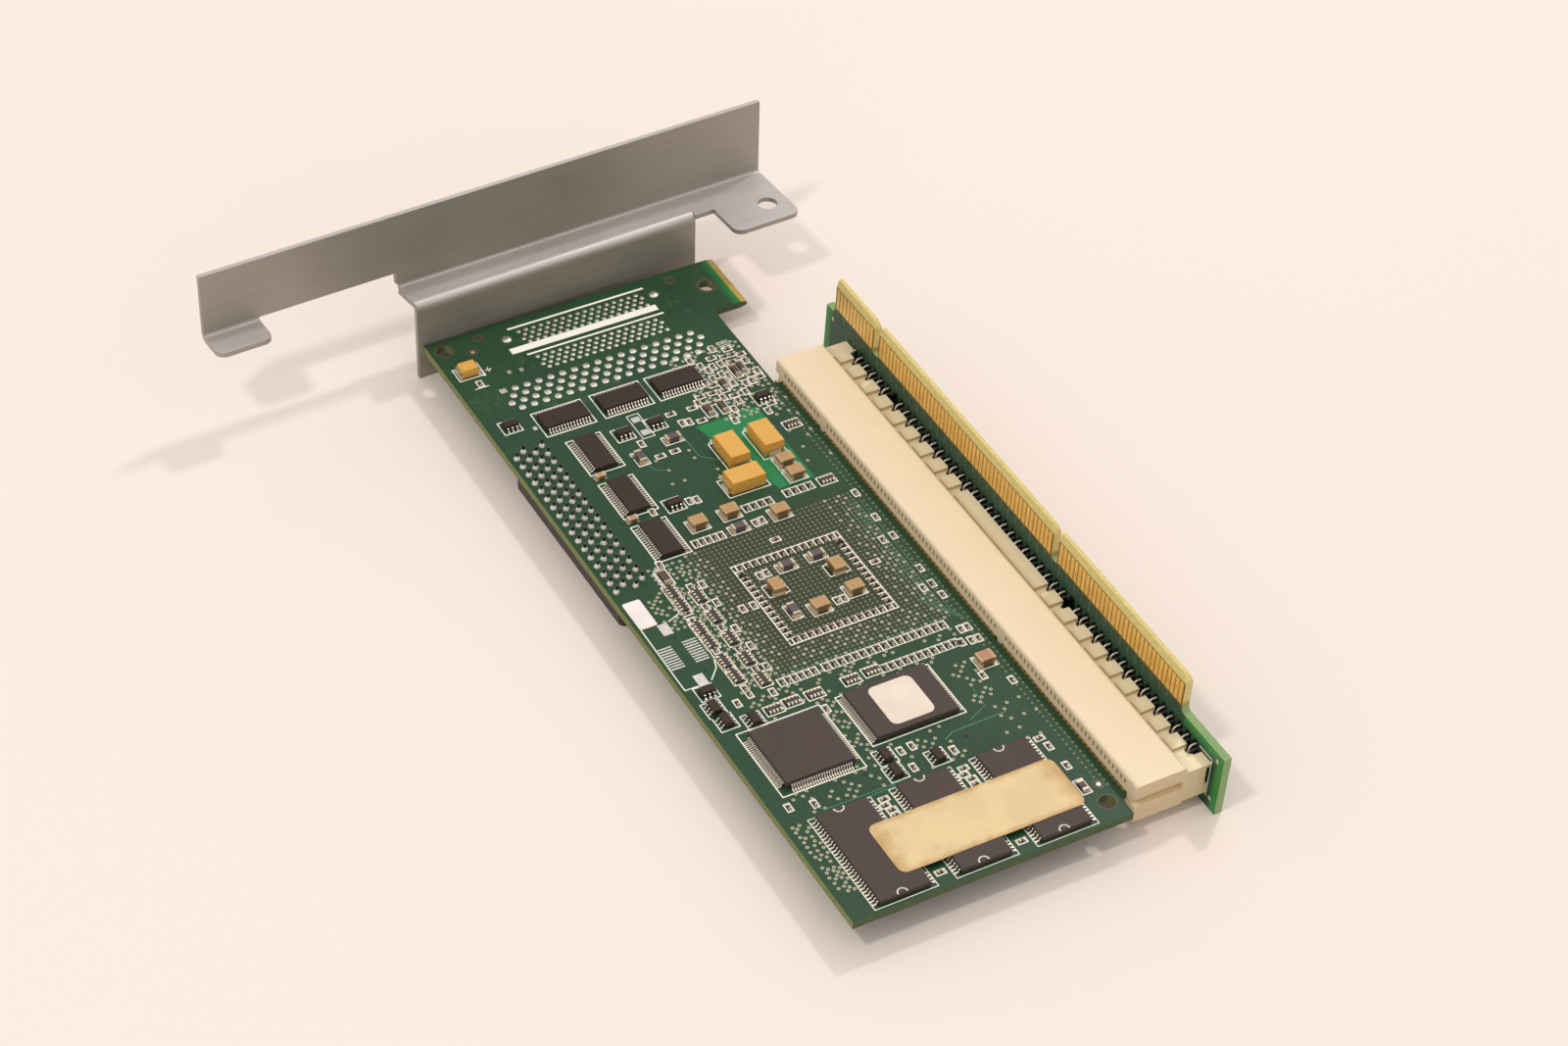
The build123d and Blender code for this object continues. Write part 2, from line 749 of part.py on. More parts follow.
# The base is the table that the card lies on: the origin goes to the middle of the base
extent = Compound([solid for piece in nodes.values() for solid in piece.solids()]).bounding_box()
to_base = Location((-extent.center().X, -extent.center().Y, -table))
os.makedirs("parts", exist_ok=True)
for name, piece in nodes.items():
    export_step(piece.moved(to_base), f"parts/{name}.step")
print("Origin of the card's own corner:", to_base.position)
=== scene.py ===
import math
import random

import bmesh
import bpy
from mathutils import Matrix, Vector


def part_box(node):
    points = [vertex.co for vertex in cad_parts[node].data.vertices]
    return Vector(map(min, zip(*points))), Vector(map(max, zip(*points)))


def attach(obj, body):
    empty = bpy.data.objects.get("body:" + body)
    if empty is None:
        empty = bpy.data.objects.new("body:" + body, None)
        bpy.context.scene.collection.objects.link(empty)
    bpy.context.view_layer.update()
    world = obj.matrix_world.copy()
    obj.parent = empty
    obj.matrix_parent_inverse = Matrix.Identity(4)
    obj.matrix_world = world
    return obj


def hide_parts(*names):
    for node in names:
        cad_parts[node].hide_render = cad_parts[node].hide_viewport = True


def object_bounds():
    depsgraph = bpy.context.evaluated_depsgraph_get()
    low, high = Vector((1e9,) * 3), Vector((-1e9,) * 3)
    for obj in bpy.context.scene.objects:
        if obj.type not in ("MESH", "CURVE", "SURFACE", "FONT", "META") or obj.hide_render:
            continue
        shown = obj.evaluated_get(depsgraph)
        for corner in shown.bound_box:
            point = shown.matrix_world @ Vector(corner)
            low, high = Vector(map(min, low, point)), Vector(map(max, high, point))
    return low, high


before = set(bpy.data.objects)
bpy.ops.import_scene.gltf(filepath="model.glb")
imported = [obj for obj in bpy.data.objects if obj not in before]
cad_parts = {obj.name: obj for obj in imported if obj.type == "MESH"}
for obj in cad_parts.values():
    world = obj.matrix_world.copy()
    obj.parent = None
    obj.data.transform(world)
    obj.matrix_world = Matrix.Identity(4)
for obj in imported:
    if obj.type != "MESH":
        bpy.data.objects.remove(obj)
cad_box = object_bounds()

# Everything below is measured in millimetres from the card's own corner: X along the card
# away from the bracket, Y towards the socket, Z up from the card's top face.
MM = 0.001
card_low, card_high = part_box("main_board")
CORNER = Vector((card_low.x, card_low.y, card_high.z))
CARD_THICKNESS = (card_high.z - card_low.z) / MM
TABLE = (cad_box[0][2] - CORNER.z) / MM
TO_FRAME = Matrix.Translation(CORNER) @ Matrix.Scale(MM, 4)

# The camera, as it stood when the photograph was taken
CAMERA_PLACE = Vector((513.91, -242.86, 476.65))
CAMERA_LOOK = Vector((-0.62098, 0.39845, -0.67500))
CAMERA_RIGHT = Vector((0.49198, 0.86853, 0.06008))
LENS = 86.53

# The contacts of the card's long edge, and the socket's tails, one to every second contact
FIRST_CONTACT = 40.63
CONTACT_PITCH = 1.27
TAIL_PITCH = 2 * CONTACT_PITCH
# Half the length of the riser between its two rims without copper
RISER_RIM = 67.2

# Heights from the card's face: the sunk undersides of flat things, and the tops of print and pads
SINK = -0.02
PRINT_TOP = 0.03
PAD_TOP = 0.05
# Widths of printed lines
PRINT_WIDTH = 0.24
BLOCK_PRINT_WIDTH = 0.22
FINE_PRINT_WIDTH = 0.16
# Turns a thing on the card's upper face over to its underside
TO_UNDERSIDE = Matrix.Translation((0, 0, -CARD_THICKNESS)) @ Matrix.Diagonal((1, 1, -1, 1))

random.seed(7)


def node_box(node):
    """The lowest and highest corner of a CAD node, in millimetres from the card's corner."""
    low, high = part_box(node)
    return (low - CORNER) / MM, (high - CORNER) / MM


def islands(node):
    """The box of each separate solid in a CAD node, in millimetres from the card's corner."""
    shape = bmesh.new()
    shape.from_mesh(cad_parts[node].data)
    bmesh.ops.remove_doubles(shape, verts=shape.verts, dist=1e-6)
    unseen = set(shape.verts)
    boxes = []
    while unseen:
        edge = [unseen.pop()]
        found = []
        while edge:
            vert = edge.pop()
            found.append((vert.co - CORNER) / MM)
            for link in vert.link_edges:
                other = link.other_vert(vert)
                if other in unseen:
                    unseen.remove(other)
                    edge.append(other)
        low = Vector([min(point[k] for point in found) for k in range(3)])
        high = Vector([max(point[k] for point in found) for k in range(3)])
        boxes.append((low, high))
    shape.free()
    return sorted(boxes, key=lambda pair: tuple(pair[0]))


class Wire:
    """A shader value that takes part in sums."""

    def __init__(self, paint, socket):
        self.paint, self.socket = paint, socket

    def __add__(self, other):
        return self.paint.sum("ADD", self, other)

    def __radd__(self, other):
        return self.paint.sum("ADD", other, self)

    def __sub__(self, other):
        return self.paint.sum("SUBTRACT", self, other)

    def __rsub__(self, other):
        return self.paint.sum("SUBTRACT", other, self)

    def __mul__(self, other):
        return self.paint.sum("MULTIPLY", self, other)

    def __rmul__(self, other):
        return self.paint.sum("MULTIPLY", other, self)

    def __truediv__(self, other):
        return self.paint.sum("DIVIDE", self, other)

    def __rtruediv__(self, other):
        return self.paint.sum("DIVIDE", other, self)

    def __abs__(self):
        return self.paint.sum("ABSOLUTE", self, 0)

    def larger(self, other):
        return self.paint.sum("MAXIMUM", self, other)

    def wrap(self, period):
        """The value's distance into its period, from minus half to plus half of it."""
        return self.paint.sum("FLOORED_MODULO", self + period / 2, period) - period / 2


class Paint:
    """A material. What is even is set on the shader, and what varies comes from nodes."""

    def __init__(self, name, colour, roughness, metallic=0.0, **fixed):
        self.material = bpy.data.materials.new(name)
        self.material.use_nodes = True
        self.tree = self.material.node_tree
        self.shader = self.tree.nodes["Principled BSDF"]
        self.shader.inputs["Base Color"].default_value = (*colour, 1)
        self.shader.inputs["Roughness"].default_value = roughness
        self.shader.inputs["Metallic"].default_value = metallic
        for socket, value in fixed.items():
            self.shader.inputs[socket.replace("_", " ")].default_value = value
        self.material.diffuse_color = (*colour, 1)

    def node(self, kind, settings, inputs, output=0):
        """A node of any type, with its settings made first, and the wire from one output."""
        made = self.tree.nodes.new(kind)
        for key, value in settings.items():
            setattr(made, key, value)
        for key, value in inputs.items():
            self.feed(made.inputs[key], value)
        return Wire(self, made.outputs[output])

    def feed(self, socket, value):
        """Link a wire to a socket, or set the socket to a plain value."""
        if isinstance(value, Wire):
            self.tree.links.new(value.socket, socket)
        else:
            socket.default_value = value

    def sum(self, operation, first, second):
        return self.node("ShaderNodeMath", {"operation": operation}, {0: first, 1: second})

    def mix(self, share, first, second):
        """Colours mixed by a share from 0 to 1."""
        first, second = [c if isinstance(c, Wire) else (*c, 1) for c in (first, second)]
        return self.node(
            "ShaderNodeMix", {"data_type": "RGBA"}, {0: share, 6: first, 7: second}, 2)

    def place(self):
        """The point on the surface in the frame, as a vector in metres."""
        return self.node("ShaderNodeTexCoord", {}, {}, "Object")

    def axes(self):
        """The three coordinates of the surface in millimetres from the card's corner."""
        split = self.node("ShaderNodeSeparateXYZ", {}, {0: self.place()}).socket.node
        return [(Wire(self, split.outputs[k]) - CORNER[k]) * (1 / MM) for k in range(3)]

    def facing(self, axis):
        """How far the surface faces along an axis, either way, from 0 to 1."""
        normal = self.node("ShaderNodeTexCoord", {}, {}, "Normal")
        split = self.node("ShaderNodeSeparateXYZ", {}, {0: normal}).socket.node
        return abs(Wire(self, split.outputs[axis]))

    def noise(self, size, detail=2.0, stretch=(1, 1, 1)):
        """Cloudy noise from 0 to 1 with spots of about the given size in millimetres."""
        vector = self.node(
            "ShaderNodeVectorMath", {"operation": "MULTIPLY"}, {0: self.place(), 1: stretch})
        return self.node(
            "ShaderNodeTexNoise", {}, {"Vector": vector, "Scale": 1 / (size * MM), "Detail": detail})

    def step(self, value, low, high):
        """0 below low, 1 above high, and even between them."""
        return self.node(
            "ShaderNodeMapRange", {"clamp": True}, {0: value, 1: low, 2: high, 3: 0.0, 4: 1.0})

    def colour_by(self, wire):
        self.feed(self.shader.inputs["Base Color"], wire)

    def roughness_by(self, wire):
        self.feed(self.shader.inputs["Roughness"], wire)

    def bump_by(self, wire, depth, strength=0.5):
        """Relief from a wire, with its full height given in millimetres."""
        bump = self.node(
            "ShaderNodeBump", {}, {"Height": wire, "Distance": depth * MM, "Strength": strength})
        self.feed(self.shader.inputs["Normal"], bump)


def card_paint():
    """Green solder mask on the card: bright where it has no copper, browner under the processor."""
    paint = Paint("card_mask", (0.02, 0.075, 0.035), 0.3, Specular_IOR_Level=0.22)
    x, y, z = paint.axes()
    cloud = paint.noise(14, 3)
    grain = paint.noise(0.6, 3)
    mask = paint.mix(cloud, (0.012, 0.045, 0.02), (0.028, 0.078, 0.036))
    mask = paint.mix(paint.step(grain, 0.35, 0.75) * 0.3, mask, (0.035, 0.11, 0.05))
    processor_x, processor_y, full, none = 91, 36, 16, 21
    brown = paint.step(abs(x - processor_x), none, full) * paint.step(abs(y - processor_y), none, full)
    mask = paint.mix(brown * 0.85, mask, (0.042, 0.046, 0.024))
    patch_x, patch_reach, far_y = 55.3, 11.4, 50.4
    ragged = (paint.noise(5, 2) - 0.5) * 1.6
    near_y = (x - 44.1) * 0.25 + 36.6
    bare = paint.step(y + ragged, far_y, far_y - 0.5) * paint.step(y - near_y + ragged, -0.2, 0.3)
    bare = bare * paint.step(abs(x - patch_x) + ragged, patch_reach, patch_reach - 0.4)
    mask = paint.mix(bare * paint.step(z, -0.8, -0.4), mask, (0.02, 0.22, 0.075))
    tab_rim = paint.step(y, 60.8, 62.6) * paint.step(x, 36, 34)
    mask = paint.mix(tab_rim, mask, (0.02, 0.2, 0.05))
    # Painted shade: a dark band on the mask along the socket's lip, striped by the traces that run to the
    # contacts
    socket_lip_shade = paint.step(y, 56.5, 60.5) * paint.step(x, 39, 40)
    stripe = paint.step(abs((x - FIRST_CONTACT).wrap(CONTACT_PITCH)), 0.2, 0.32)
    mask = paint.mix(socket_lip_shade * (0.3 + stripe * 0.45), mask, (0.004, 0.02, 0.008))
    residue = paint.step(paint.noise(1.6, 4), 0.5, 0.75) * paint.step(paint.noise(9, 2), 0.5, 0.62)
    residue = residue * paint.step(x, 38, 24) * paint.step(x, 4, 8)
    mask = paint.mix(residue * 0.45, mask, (0.12, 0.2, 0.12))
    edge = paint.step(paint.facing(2), 0.9, 0.7)
    weave = paint.noise(1.2, 3)
    laminate = paint.mix(weave, (0.12, 0.15, 0.05), (0.26, 0.27, 0.1))
    # Painted shade: the laminate on faces towards the card's ends is painted darker than on its long edges
    end_face_shade = paint.mix(weave, (0.045, 0.075, 0.035), (0.11, 0.14, 0.065))
    laminate = paint.mix(paint.step(paint.facing(0), 0.7, 0.9), laminate, end_face_shade)
    bevel = paint.mix(weave, (0.36, 0.22, 0.04), (0.56, 0.4, 0.1))
    bevel_start = 62.85
    mask = paint.mix(paint.step(y, bevel_start, bevel_start + 0.25), mask, bevel)
    paint.colour_by(paint.mix(edge, mask, laminate))
    paint.roughness_by(0.28 + edge * 0.35 + grain * 0.1)
    paint.bump_by(grain + residue * 0.5, 0.03, 0.4)
    return paint


def riser_paint():
    """The riser's mask, its bright rims without copper, its bare tip between the fingers, and painted
    shade low on its face behind the socket's tails.
    """
    paint = Paint("riser_mask", (0.02, 0.07, 0.035), 0.3, Specular_IOR_Level=0.22)
    x, y, z = paint.axes()
    cloud = paint.noise(14, 3)
    grain = paint.noise(0.5, 3)
    mask = paint.mix(cloud, (0.013, 0.058, 0.032), (0.032, 0.08, 0.046))
    riser_x, fingers_x, socket_x, socket_reach = 98.4, 93.6, 99.9, 62.5
    ends = paint.step(abs(x - riser_x), RISER_RIM, RISER_RIM + 1.2)
    shoulders = paint.step(z, 3.4, 5.2) * paint.step(abs(x - fingers_x), 61.5, 63)
    mask = paint.mix(ends.larger(shoulders), mask, (0.04, 0.24, 0.06))
    # Painted shade: the riser's face is near black low in the gap behind the socket, and the dark reaches
    # higher round each tail
    tail_shade_rise = paint.step(abs((x - FIRST_CONTACT).wrap(TAIL_PITCH)), 1.15, 0.6) * 1.9
    front = paint.step(y, 74.8, 74.5)
    gap = paint.step(z - tail_shade_rise, 2.0, 1.7) * front
    gap = gap * paint.step(abs(x - socket_x), socket_reach, socket_reach - 1)
    mask = paint.mix(gap, mask, (0.003, 0.004, 0.003))
    edge = paint.step(paint.facing(1), 0.9, 0.7)
    weave = paint.noise(0.7, 3)
    mask = paint.mix(edge, mask, paint.mix(weave, (0.17, 0.3, 0.11), (0.33, 0.46, 0.21)))
    fibre = paint.mix(weave, (0.15, 0.07, 0.01), (0.25, 0.13, 0.02))
    finger_foot, finger_tip = 7.0, 12.5
    mask = paint.mix(paint.step(z, finger_foot, finger_foot + 0.15), mask, fibre)
    tip = paint.mix(weave, (0.56, 0.44, 0.14), (0.84, 0.72, 0.32))
    rounded = edge * paint.step(z, 6.5, 8.5)
    paint.colour_by(paint.mix(paint.step(z, finger_tip, finger_tip + 0.2).larger(rounded), mask, tip))
    paint.roughness_by(0.3 + edge * 0.3 + grain * 0.12)
    paint.bump_by(grain, 0.03, 0.4)
    return paint


def metal_paint(name, colour, roughness, size=2.0, metallic=1.0):
    """Bright metal with uneven polish."""
    paint = Paint(name, colour, roughness, metallic)
    spots = paint.noise(size, 3)
    darker = tuple(c * 0.8 for c in colour)
    paint.colour_by(paint.mix(spots, darker, colour))
    paint.roughness_by(roughness + (spots - 0.5) * 0.25)
    return paint


def moulded_paint(name, colour, roughness, grain=0.12, depth=0.01, change=0.25, gloss=0.5):
    """Moulded plastic or ceramic, finely grained, with a faint change of shade."""
    paint = Paint(name, colour, roughness, Specular_IOR_Level=gloss)
    cloud = paint.noise(6, 3)
    fine = paint.noise(grain, 2)
    lighter = tuple(min(1, c * (1 + change)) for c in colour)
    darker = tuple(c * (1 - change) for c in colour)
    paint.colour_by(paint.mix(cloud * 0.6 + fine * 0.4, darker, lighter))
    paint.roughness_by(roughness - 0.08 + fine * 0.16)
    paint.bump_by(fine, depth, 0.4)
    return paint


def finger_paint():
    """Gold plate of the riser's fingers, a little worn towards the tip."""
    paint = Paint("finger_gold", (0.95, 0.62, 0.17), 0.28, 0.6)
    z = paint.axes()[2]
    wear = paint.noise(1.5, 3, (1, 1, 0.3))
    gold = paint.mix(wear, (0.9, 0.56, 0.13), (1.0, 0.7, 0.23))
    paint.colour_by(paint.mix(paint.step(z, 11.2, 12.4) * 0.35, gold, (0.8, 0.56, 0.2)))
    paint.roughness_by(0.22 + wear * 0.12)
    return paint


def cream_paint():
    """The socket's cream plastic, with painted light that makes the low ledge by the riser lighter and
    yellower, and painted shade on its end faces.
    """
    paint = Paint("cream_plastic", (0.85, 0.69, 0.475), 0.42)
    y, z = paint.axes()[1:]
    cloud = paint.noise(6, 3)
    cream = paint.mix(cloud, (0.81, 0.66, 0.455), (0.87, 0.71, 0.49))
    # Painted light: the low ledge, which the riser shades, is painted lighter and yellower than the body
    ledge_painted_light = paint.step(y, 70.4, 70.9) * paint.step(z, 3.2, 2.9)
    cream = paint.mix(ledge_painted_light, cream, (0.93, 0.79, 0.52))
    # Painted shade: the faces at the socket's ends are painted darker brown
    end = paint.step(paint.facing(0), 0.7, 0.9)
    paint.colour_by(paint.mix(end * 0.8, cream, (0.6, 0.47, 0.27)))
    paint.roughness_by(0.38 + cloud * 0.08)
    return paint


def ceramic_paint():
    """Tan ceramic of the block capacitors, redder on those near the card's far end, with painted shade on
    their sides.
    """
    paint = Paint("tan_ceramic", (0.42, 0.26, 0.12), 0.4)
    x = paint.axes()[0]
    fine = paint.noise(0.5, 3)
    tan = paint.mix(fine, (0.4, 0.225, 0.085), (0.52, 0.31, 0.125))
    red = paint.mix(fine, (0.4, 0.19, 0.1), (0.5, 0.25, 0.14))
    block = paint.mix(paint.step(x, 114, 118), tan, red)
    # Painted shade: the sides of the block capacitors are painted darker than their tops
    side = paint.mix(fine, (0.15, 0.085, 0.035), (0.24, 0.14, 0.06))
    paint.colour_by(paint.mix(paint.step(paint.facing(2), 0.8, 0.5), block, side))
    paint.roughness_by(0.34 + fine * 0.14)
    return paint


def block_end_paint():
    """Metal ends of block parts: tan on their tops, with pale solder low down."""
    paint = Paint("block_part_ends", (0.6, 0.5, 0.36), 0.34, 0.35)
    z = paint.axes()[2]
    spots = paint.noise(0.7, 3)
    top = paint.mix(spots, (0.42, 0.27, 0.12), (0.56, 0.39, 0.21))
    solder = paint.mix(spots, (0.5, 0.42, 0.3), (0.84, 0.74, 0.58))
    coil_top = paint.step(paint.facing(2), 0.5, 0.8) * paint.step(z, 1.3, 1.2)
    cream = paint.mix(spots, (0.5, 0.42, 0.33), (0.66, 0.57, 0.46))
    metal = paint.mix(paint.step(z, 0.45, 0.75), solder, top)
    paint.colour_by(paint.mix(coil_top, metal, cream))
    paint.roughness_by(0.26 + spots * 0.2)
    return paint


def steel_paint():
    """Zinc plated sheet, rolled along the bracket, darker towards the middle of its upright faces, with
    painted light that makes the upward faces lighter than the upright ones.
    """
    paint = Paint("bracket_zinc", (0.42, 0.39, 0.36), 0.42, 0.45)
    streaks = paint.noise(1.2, 4, (1, 0.04, 1))
    cloud = paint.noise(16, 3)
    y = paint.axes()[1]
    shade = streaks * 0.5 + cloud * 0.5
    # Painted shade: the upright faces take a darker copy of the zinc than the upward ones
    upright = paint.mix(shade, (0.29, 0.26, 0.225), (0.44, 0.4, 0.355))
    # Darker towards the middle of the upright faces
    darker_middle = paint.mix(shade, (0.22, 0.195, 0.16), (0.34, 0.305, 0.26))
    middle_y = 20
    upright = paint.mix(paint.step(abs(y - middle_y), 42, 14) * 0.7, upright, darker_middle)
    # Painted light: the upward faces take a lighter, bluer copy of the zinc
    painted_light_top = paint.mix(shade, (0.46, 0.425, 0.41), (0.66, 0.615, 0.6))
    paint.colour_by(paint.mix(paint.step(paint.facing(2), 0.5, 0.8), upright, painted_light_top))
    paint.roughness_by(0.34 + cloud * 0.18 + streaks * 0.08)
    paint.bump_by(streaks, 0.01, 0.3)
    return paint


def paper_paint(name, low, high, colour, stain, stain_reach):
    """A paper label, browned towards its edges and in blotches."""
    paint = Paint(name, colour, 0.62)
    x, y = paint.axes()[:2]
    middle = (low + high) / 2
    half = (high - low) / 2
    from_middle = (abs(x - middle.x) / half.x).larger(abs(y - middle.y) / half.y)
    worn = paint.step(from_middle + (paint.noise(3, 3) - 0.5) * 0.35, 1 - stain_reach, 1.02)
    blotch = paint.step(paint.noise(4.5, 4), 0.6, 0.85)
    paler = tuple(c * 1.08 for c in colour)
    sheet = paint.mix(paint.step(paint.noise(7, 3), 0.42, 0.6), colour, paler)
    paint.colour_by(paint.mix((worn * 0.85).larger(blotch * 0.45), sheet, stain))
    paint.roughness_by(0.5 + paint.noise(2, 2) * 0.2)
    paint.bump_by(paint.noise(1.6, 2), 0.05, 0.3)
    return paint


CARD_GREEN = card_paint()
RISER_GREEN = riser_paint()
GOLD = metal_paint("contact_gold", (0.5, 0.32, 0.11), 0.35)
FINGER_GOLD = finger_paint()
LEAD = metal_paint("bright_leads", (0.86, 0.79, 0.68), 0.3, 0.5, 0.35)
TIN = metal_paint("tin", (0.86, 0.79, 0.69), 0.24, 0.8)
PAD = metal_paint("pad_solder", (0.82, 0.71, 0.55), 0.36, 0.7)
SMALL_END = metal_paint("small_part_ends", (0.58, 0.49, 0.37), 0.36, 0.4)
PIN_DARK = metal_paint("pin_tips", (0.16, 0.14, 0.12), 0.3, 0.5)
BLOCK_END = block_end_paint()
SOLDER = metal_paint("solder", (0.88, 0.84, 0.78), 0.28, 0.5)
ZINC = steel_paint()
CREAM = cream_paint()
# Painted shade: the colour of the shade inside the socket's contact openings
CAVITY_SHADE = moulded_paint("contact_cavity_shade", (0.33, 0.24, 0.1), 0.6)
CONNECTOR_BLACK = moulded_paint("connector_black", (0.03, 0.022, 0.02), 0.4)
CHIP = moulded_paint("chip_resin", (0.07, 0.047, 0.043), 0.5, 0.1, 0.012, 0.12, 0.25)
SMALL_CHIP = moulded_paint("small_chip_resin", (0.04, 0.025, 0.021), 0.5, 0.1, 0.012, 0.12, 0.22)
TANTALUM = moulded_paint("tantalum_resin", (0.74, 0.39, 0.07), 0.36, 0.4, 0.01, 0.08)
CERAMIC = ceramic_paint()
FERRITE = moulded_paint("ferrite", (0.1, 0.075, 0.075), 0.45)
SMALL_CERAMIC = moulded_paint("small_ceramic", (0.075, 0.045, 0.028), 0.45)
RESISTOR = moulded_paint("resistor_glaze", (0.035, 0.03, 0.03), 0.35)
SILK = moulded_paint("silkscreen", (0.97, 0.93, 0.86), 0.6, 0.3, 0.005, 0.03)
VIA_RING = moulded_paint("via_ring", (0.54, 0.49, 0.36), 0.4)
VIA_PALE = moulded_paint("via_pale", (0.16, 0.165, 0.11), 0.4)
HOLE_RING = moulded_paint("hole_ring", (0.06, 0.05, 0.02), 0.45)
# Near-black painted shade, for the dark inside holes and under leads
DEEP_SHADE = moulded_paint("deep_shade", (0.01, 0.012, 0.01), 0.6)
TRACE = moulded_paint("trace", (0.055, 0.21, 0.12), 0.35)


class Piece:
    """A mesh gathered from simple shapes in millimetres, and made an object at the end."""

    def __init__(self, name, slot, *paints):
        self.name, self.slot, self.paints = name, slot, paints
        self.shape = bmesh.new()

    def paint_faces(self, verts, paint):
        """Give the faces round some corners one of the piece's paints."""
        for face in {face for vert in verts for face in vert.link_faces}:
            face.material_index = paint
        return verts

    def block(self, low, high, paint=0, place=Matrix()):
        """A box between two corners."""
        low, high = Vector(low), Vector(high)
        size = Matrix.Diagonal((*(high - low), 1))
        made = bmesh.ops.create_cube(
            self.shape, size=1, matrix=place @ Matrix.Translation((low + high) / 2) @ size)
        return self.paint_faces(made["verts"], paint)

    def pad(self, x, y, reach_x, reach_y, top):
        """A flat pad round a point on the card."""
        self.block((x - reach_x, y - reach_y, SINK), (x + reach_x, y + reach_y, top))

    def prism(self, outline, width, paint=0):
        """An outline in X and Z, extruded to a width centred on Y."""
        verts = [self.shape.verts.new((x, -width / 2, z)) for x, z in outline]
        made = bmesh.ops.extrude_face_region(self.shape, geom=[self.shape.faces.new(verts)])
        far = [item for item in made["geom"] if isinstance(item, bmesh.types.BMVert)]
        bmesh.ops.translate(self.shape, vec=(0, width, 0), verts=far)
        verts = self.paint_faces(verts + far, paint)
        faces = {face for vert in verts for face in vert.link_faces}
        bmesh.ops.recalc_face_normals(self.shape, faces=list(faces))

    def wedge(self, start, reach, width, height, paint=0):
        """A solder slope that falls from a part's end to the board."""
        self.prism([(start, 0), (start + reach, 0), (start, height)], width, paint)

    def turning(self, profile, sides, centre=(0, 0), paint=0):
        """A round shape from heights and radii, closed where the last radius is 0."""
        rings = []
        for height, radius in profile:
            if radius == 0:
                rings.append([self.shape.verts.new((*centre, height))])
                continue
            angles = [2 * math.pi * k / sides for k in range(sides)]
            rings.append([
                self.shape.verts.new((
                    centre[0] + radius * math.cos(angle), centre[1] + radius * math.sin(angle), height))
                for angle in angles])
        for lower, upper in zip(rings, rings[1:]):
            for k in range(sides):
                follow = (k + 1) % sides
                corners = [lower[k], lower[follow]]
                corners += [upper[0]] if len(upper) == 1 else [upper[follow], upper[k]]
                self.shape.faces.new(corners).material_index = paint

    def ring(self, x, y, inner, outer, sides):
        """A flat ring on the board."""
        top = 0.02
        self.turning([(0, outer), (top, outer), (top, inner)], sides, (x, y))

    def strip(self, start, end, width, past, top, height=0.0):
        """A flat strip between two points, and some way past both, on a surface at a height."""
        run = end - start
        place = Matrix.Translation((*((start + end) / 2), height)) @ Matrix.Rotation(
            math.atan2(run.y, run.x), 4, "Z")
        reach = run.length / 2 + past
        self.block((-reach, -width / 2, SINK), (reach, width / 2, top), 0, place)

    def line(self, points, width, thickness=PRINT_TOP):
        """A flat printed line through points."""
        for index, (start, end) in enumerate(zip(points, points[1:])):
            # Every second stretch is a little higher, so that no two tops coincide at a corner
            top = thickness + 0.004 * (index % 2)
            self.strip(Vector(start[:2]), Vector(end[:2]), width, width / 2, top)

    def frame(self, low, high, width):
        """A printed rectangle."""
        corners = [(low[0], low[1]), (high[0], low[1]), (high[0], high[1]), (low[0], high[1])]
        self.line(corners + corners[:1], width)

    def frame_round(self, x, y, along, across, width, turn=0):
        """A printed rectangle round a part, whose length lies along Y where it has a turn."""
        if turn:
            along, across = across, along
        self.frame((x - along, y - across), (x + along, y + across), width)

    def turn_over(self):
        """Bring everything from the card's upper face to its underside."""
        self.shape.transform(TO_UNDERSIDE)
        bmesh.ops.reverse_faces(self.shape, faces=self.shape.faces)

    def stamp(self, pattern, place):
        """A copy of a pattern mesh at a place."""
        copy = pattern.copy()
        copy.transform(place)
        self.shape.from_mesh(copy)
        bpy.data.meshes.remove(copy)

    def pattern(self):
        """The shape so far as a pattern mesh for stamping."""
        mesh = bpy.data.meshes.new(self.name + "_pattern")
        self.shape.to_mesh(mesh)
        self.shape.free()
        return mesh

    def build(self, smooth=30):
        """The shape as an object with its paints."""
        mesh = bpy.data.meshes.new(self.name)
        self.shape.transform(TO_FRAME)
        self.shape.to_mesh(mesh)
        self.shape.free()
        for paint in self.paints:
            mesh.materials.append(paint.material)
        for polygon in mesh.polygons:
            polygon.use_smooth = True
        mesh.set_sharp_from_angle(angle=math.radians(smooth))
        built = bpy.data.objects.new(self.name, mesh)
        bpy.context.scene.collection.objects.link(built)
        return built

    def finish(self, *nodes, smooth=30):
        """Build the object and let it stand for the CAD nodes named."""
        piece = self.build(smooth)
        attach(piece, "root")
        if nodes:
            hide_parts(*nodes)


def on_card(x, y, turn=0):
    """The place of a thing that stands on the card's face, turned by some degrees."""
    return Matrix.Translation((x, y, 0)) @ Matrix.Rotation(math.radians(turn), 4, "Z")


def round_pattern(name, sides, *profile):
    """A pattern mesh turned from heights and radii."""
    piece = Piece(name, None)
    piece.turning(profile, sides)
    return piece.pattern()


def drop_patterns():
    """Remove the pattern meshes once everything is stamped."""
    for mesh in [mesh for mesh in bpy.data.meshes if "_pattern" in mesh.name]:
        bpy.data.meshes.remove(mesh)


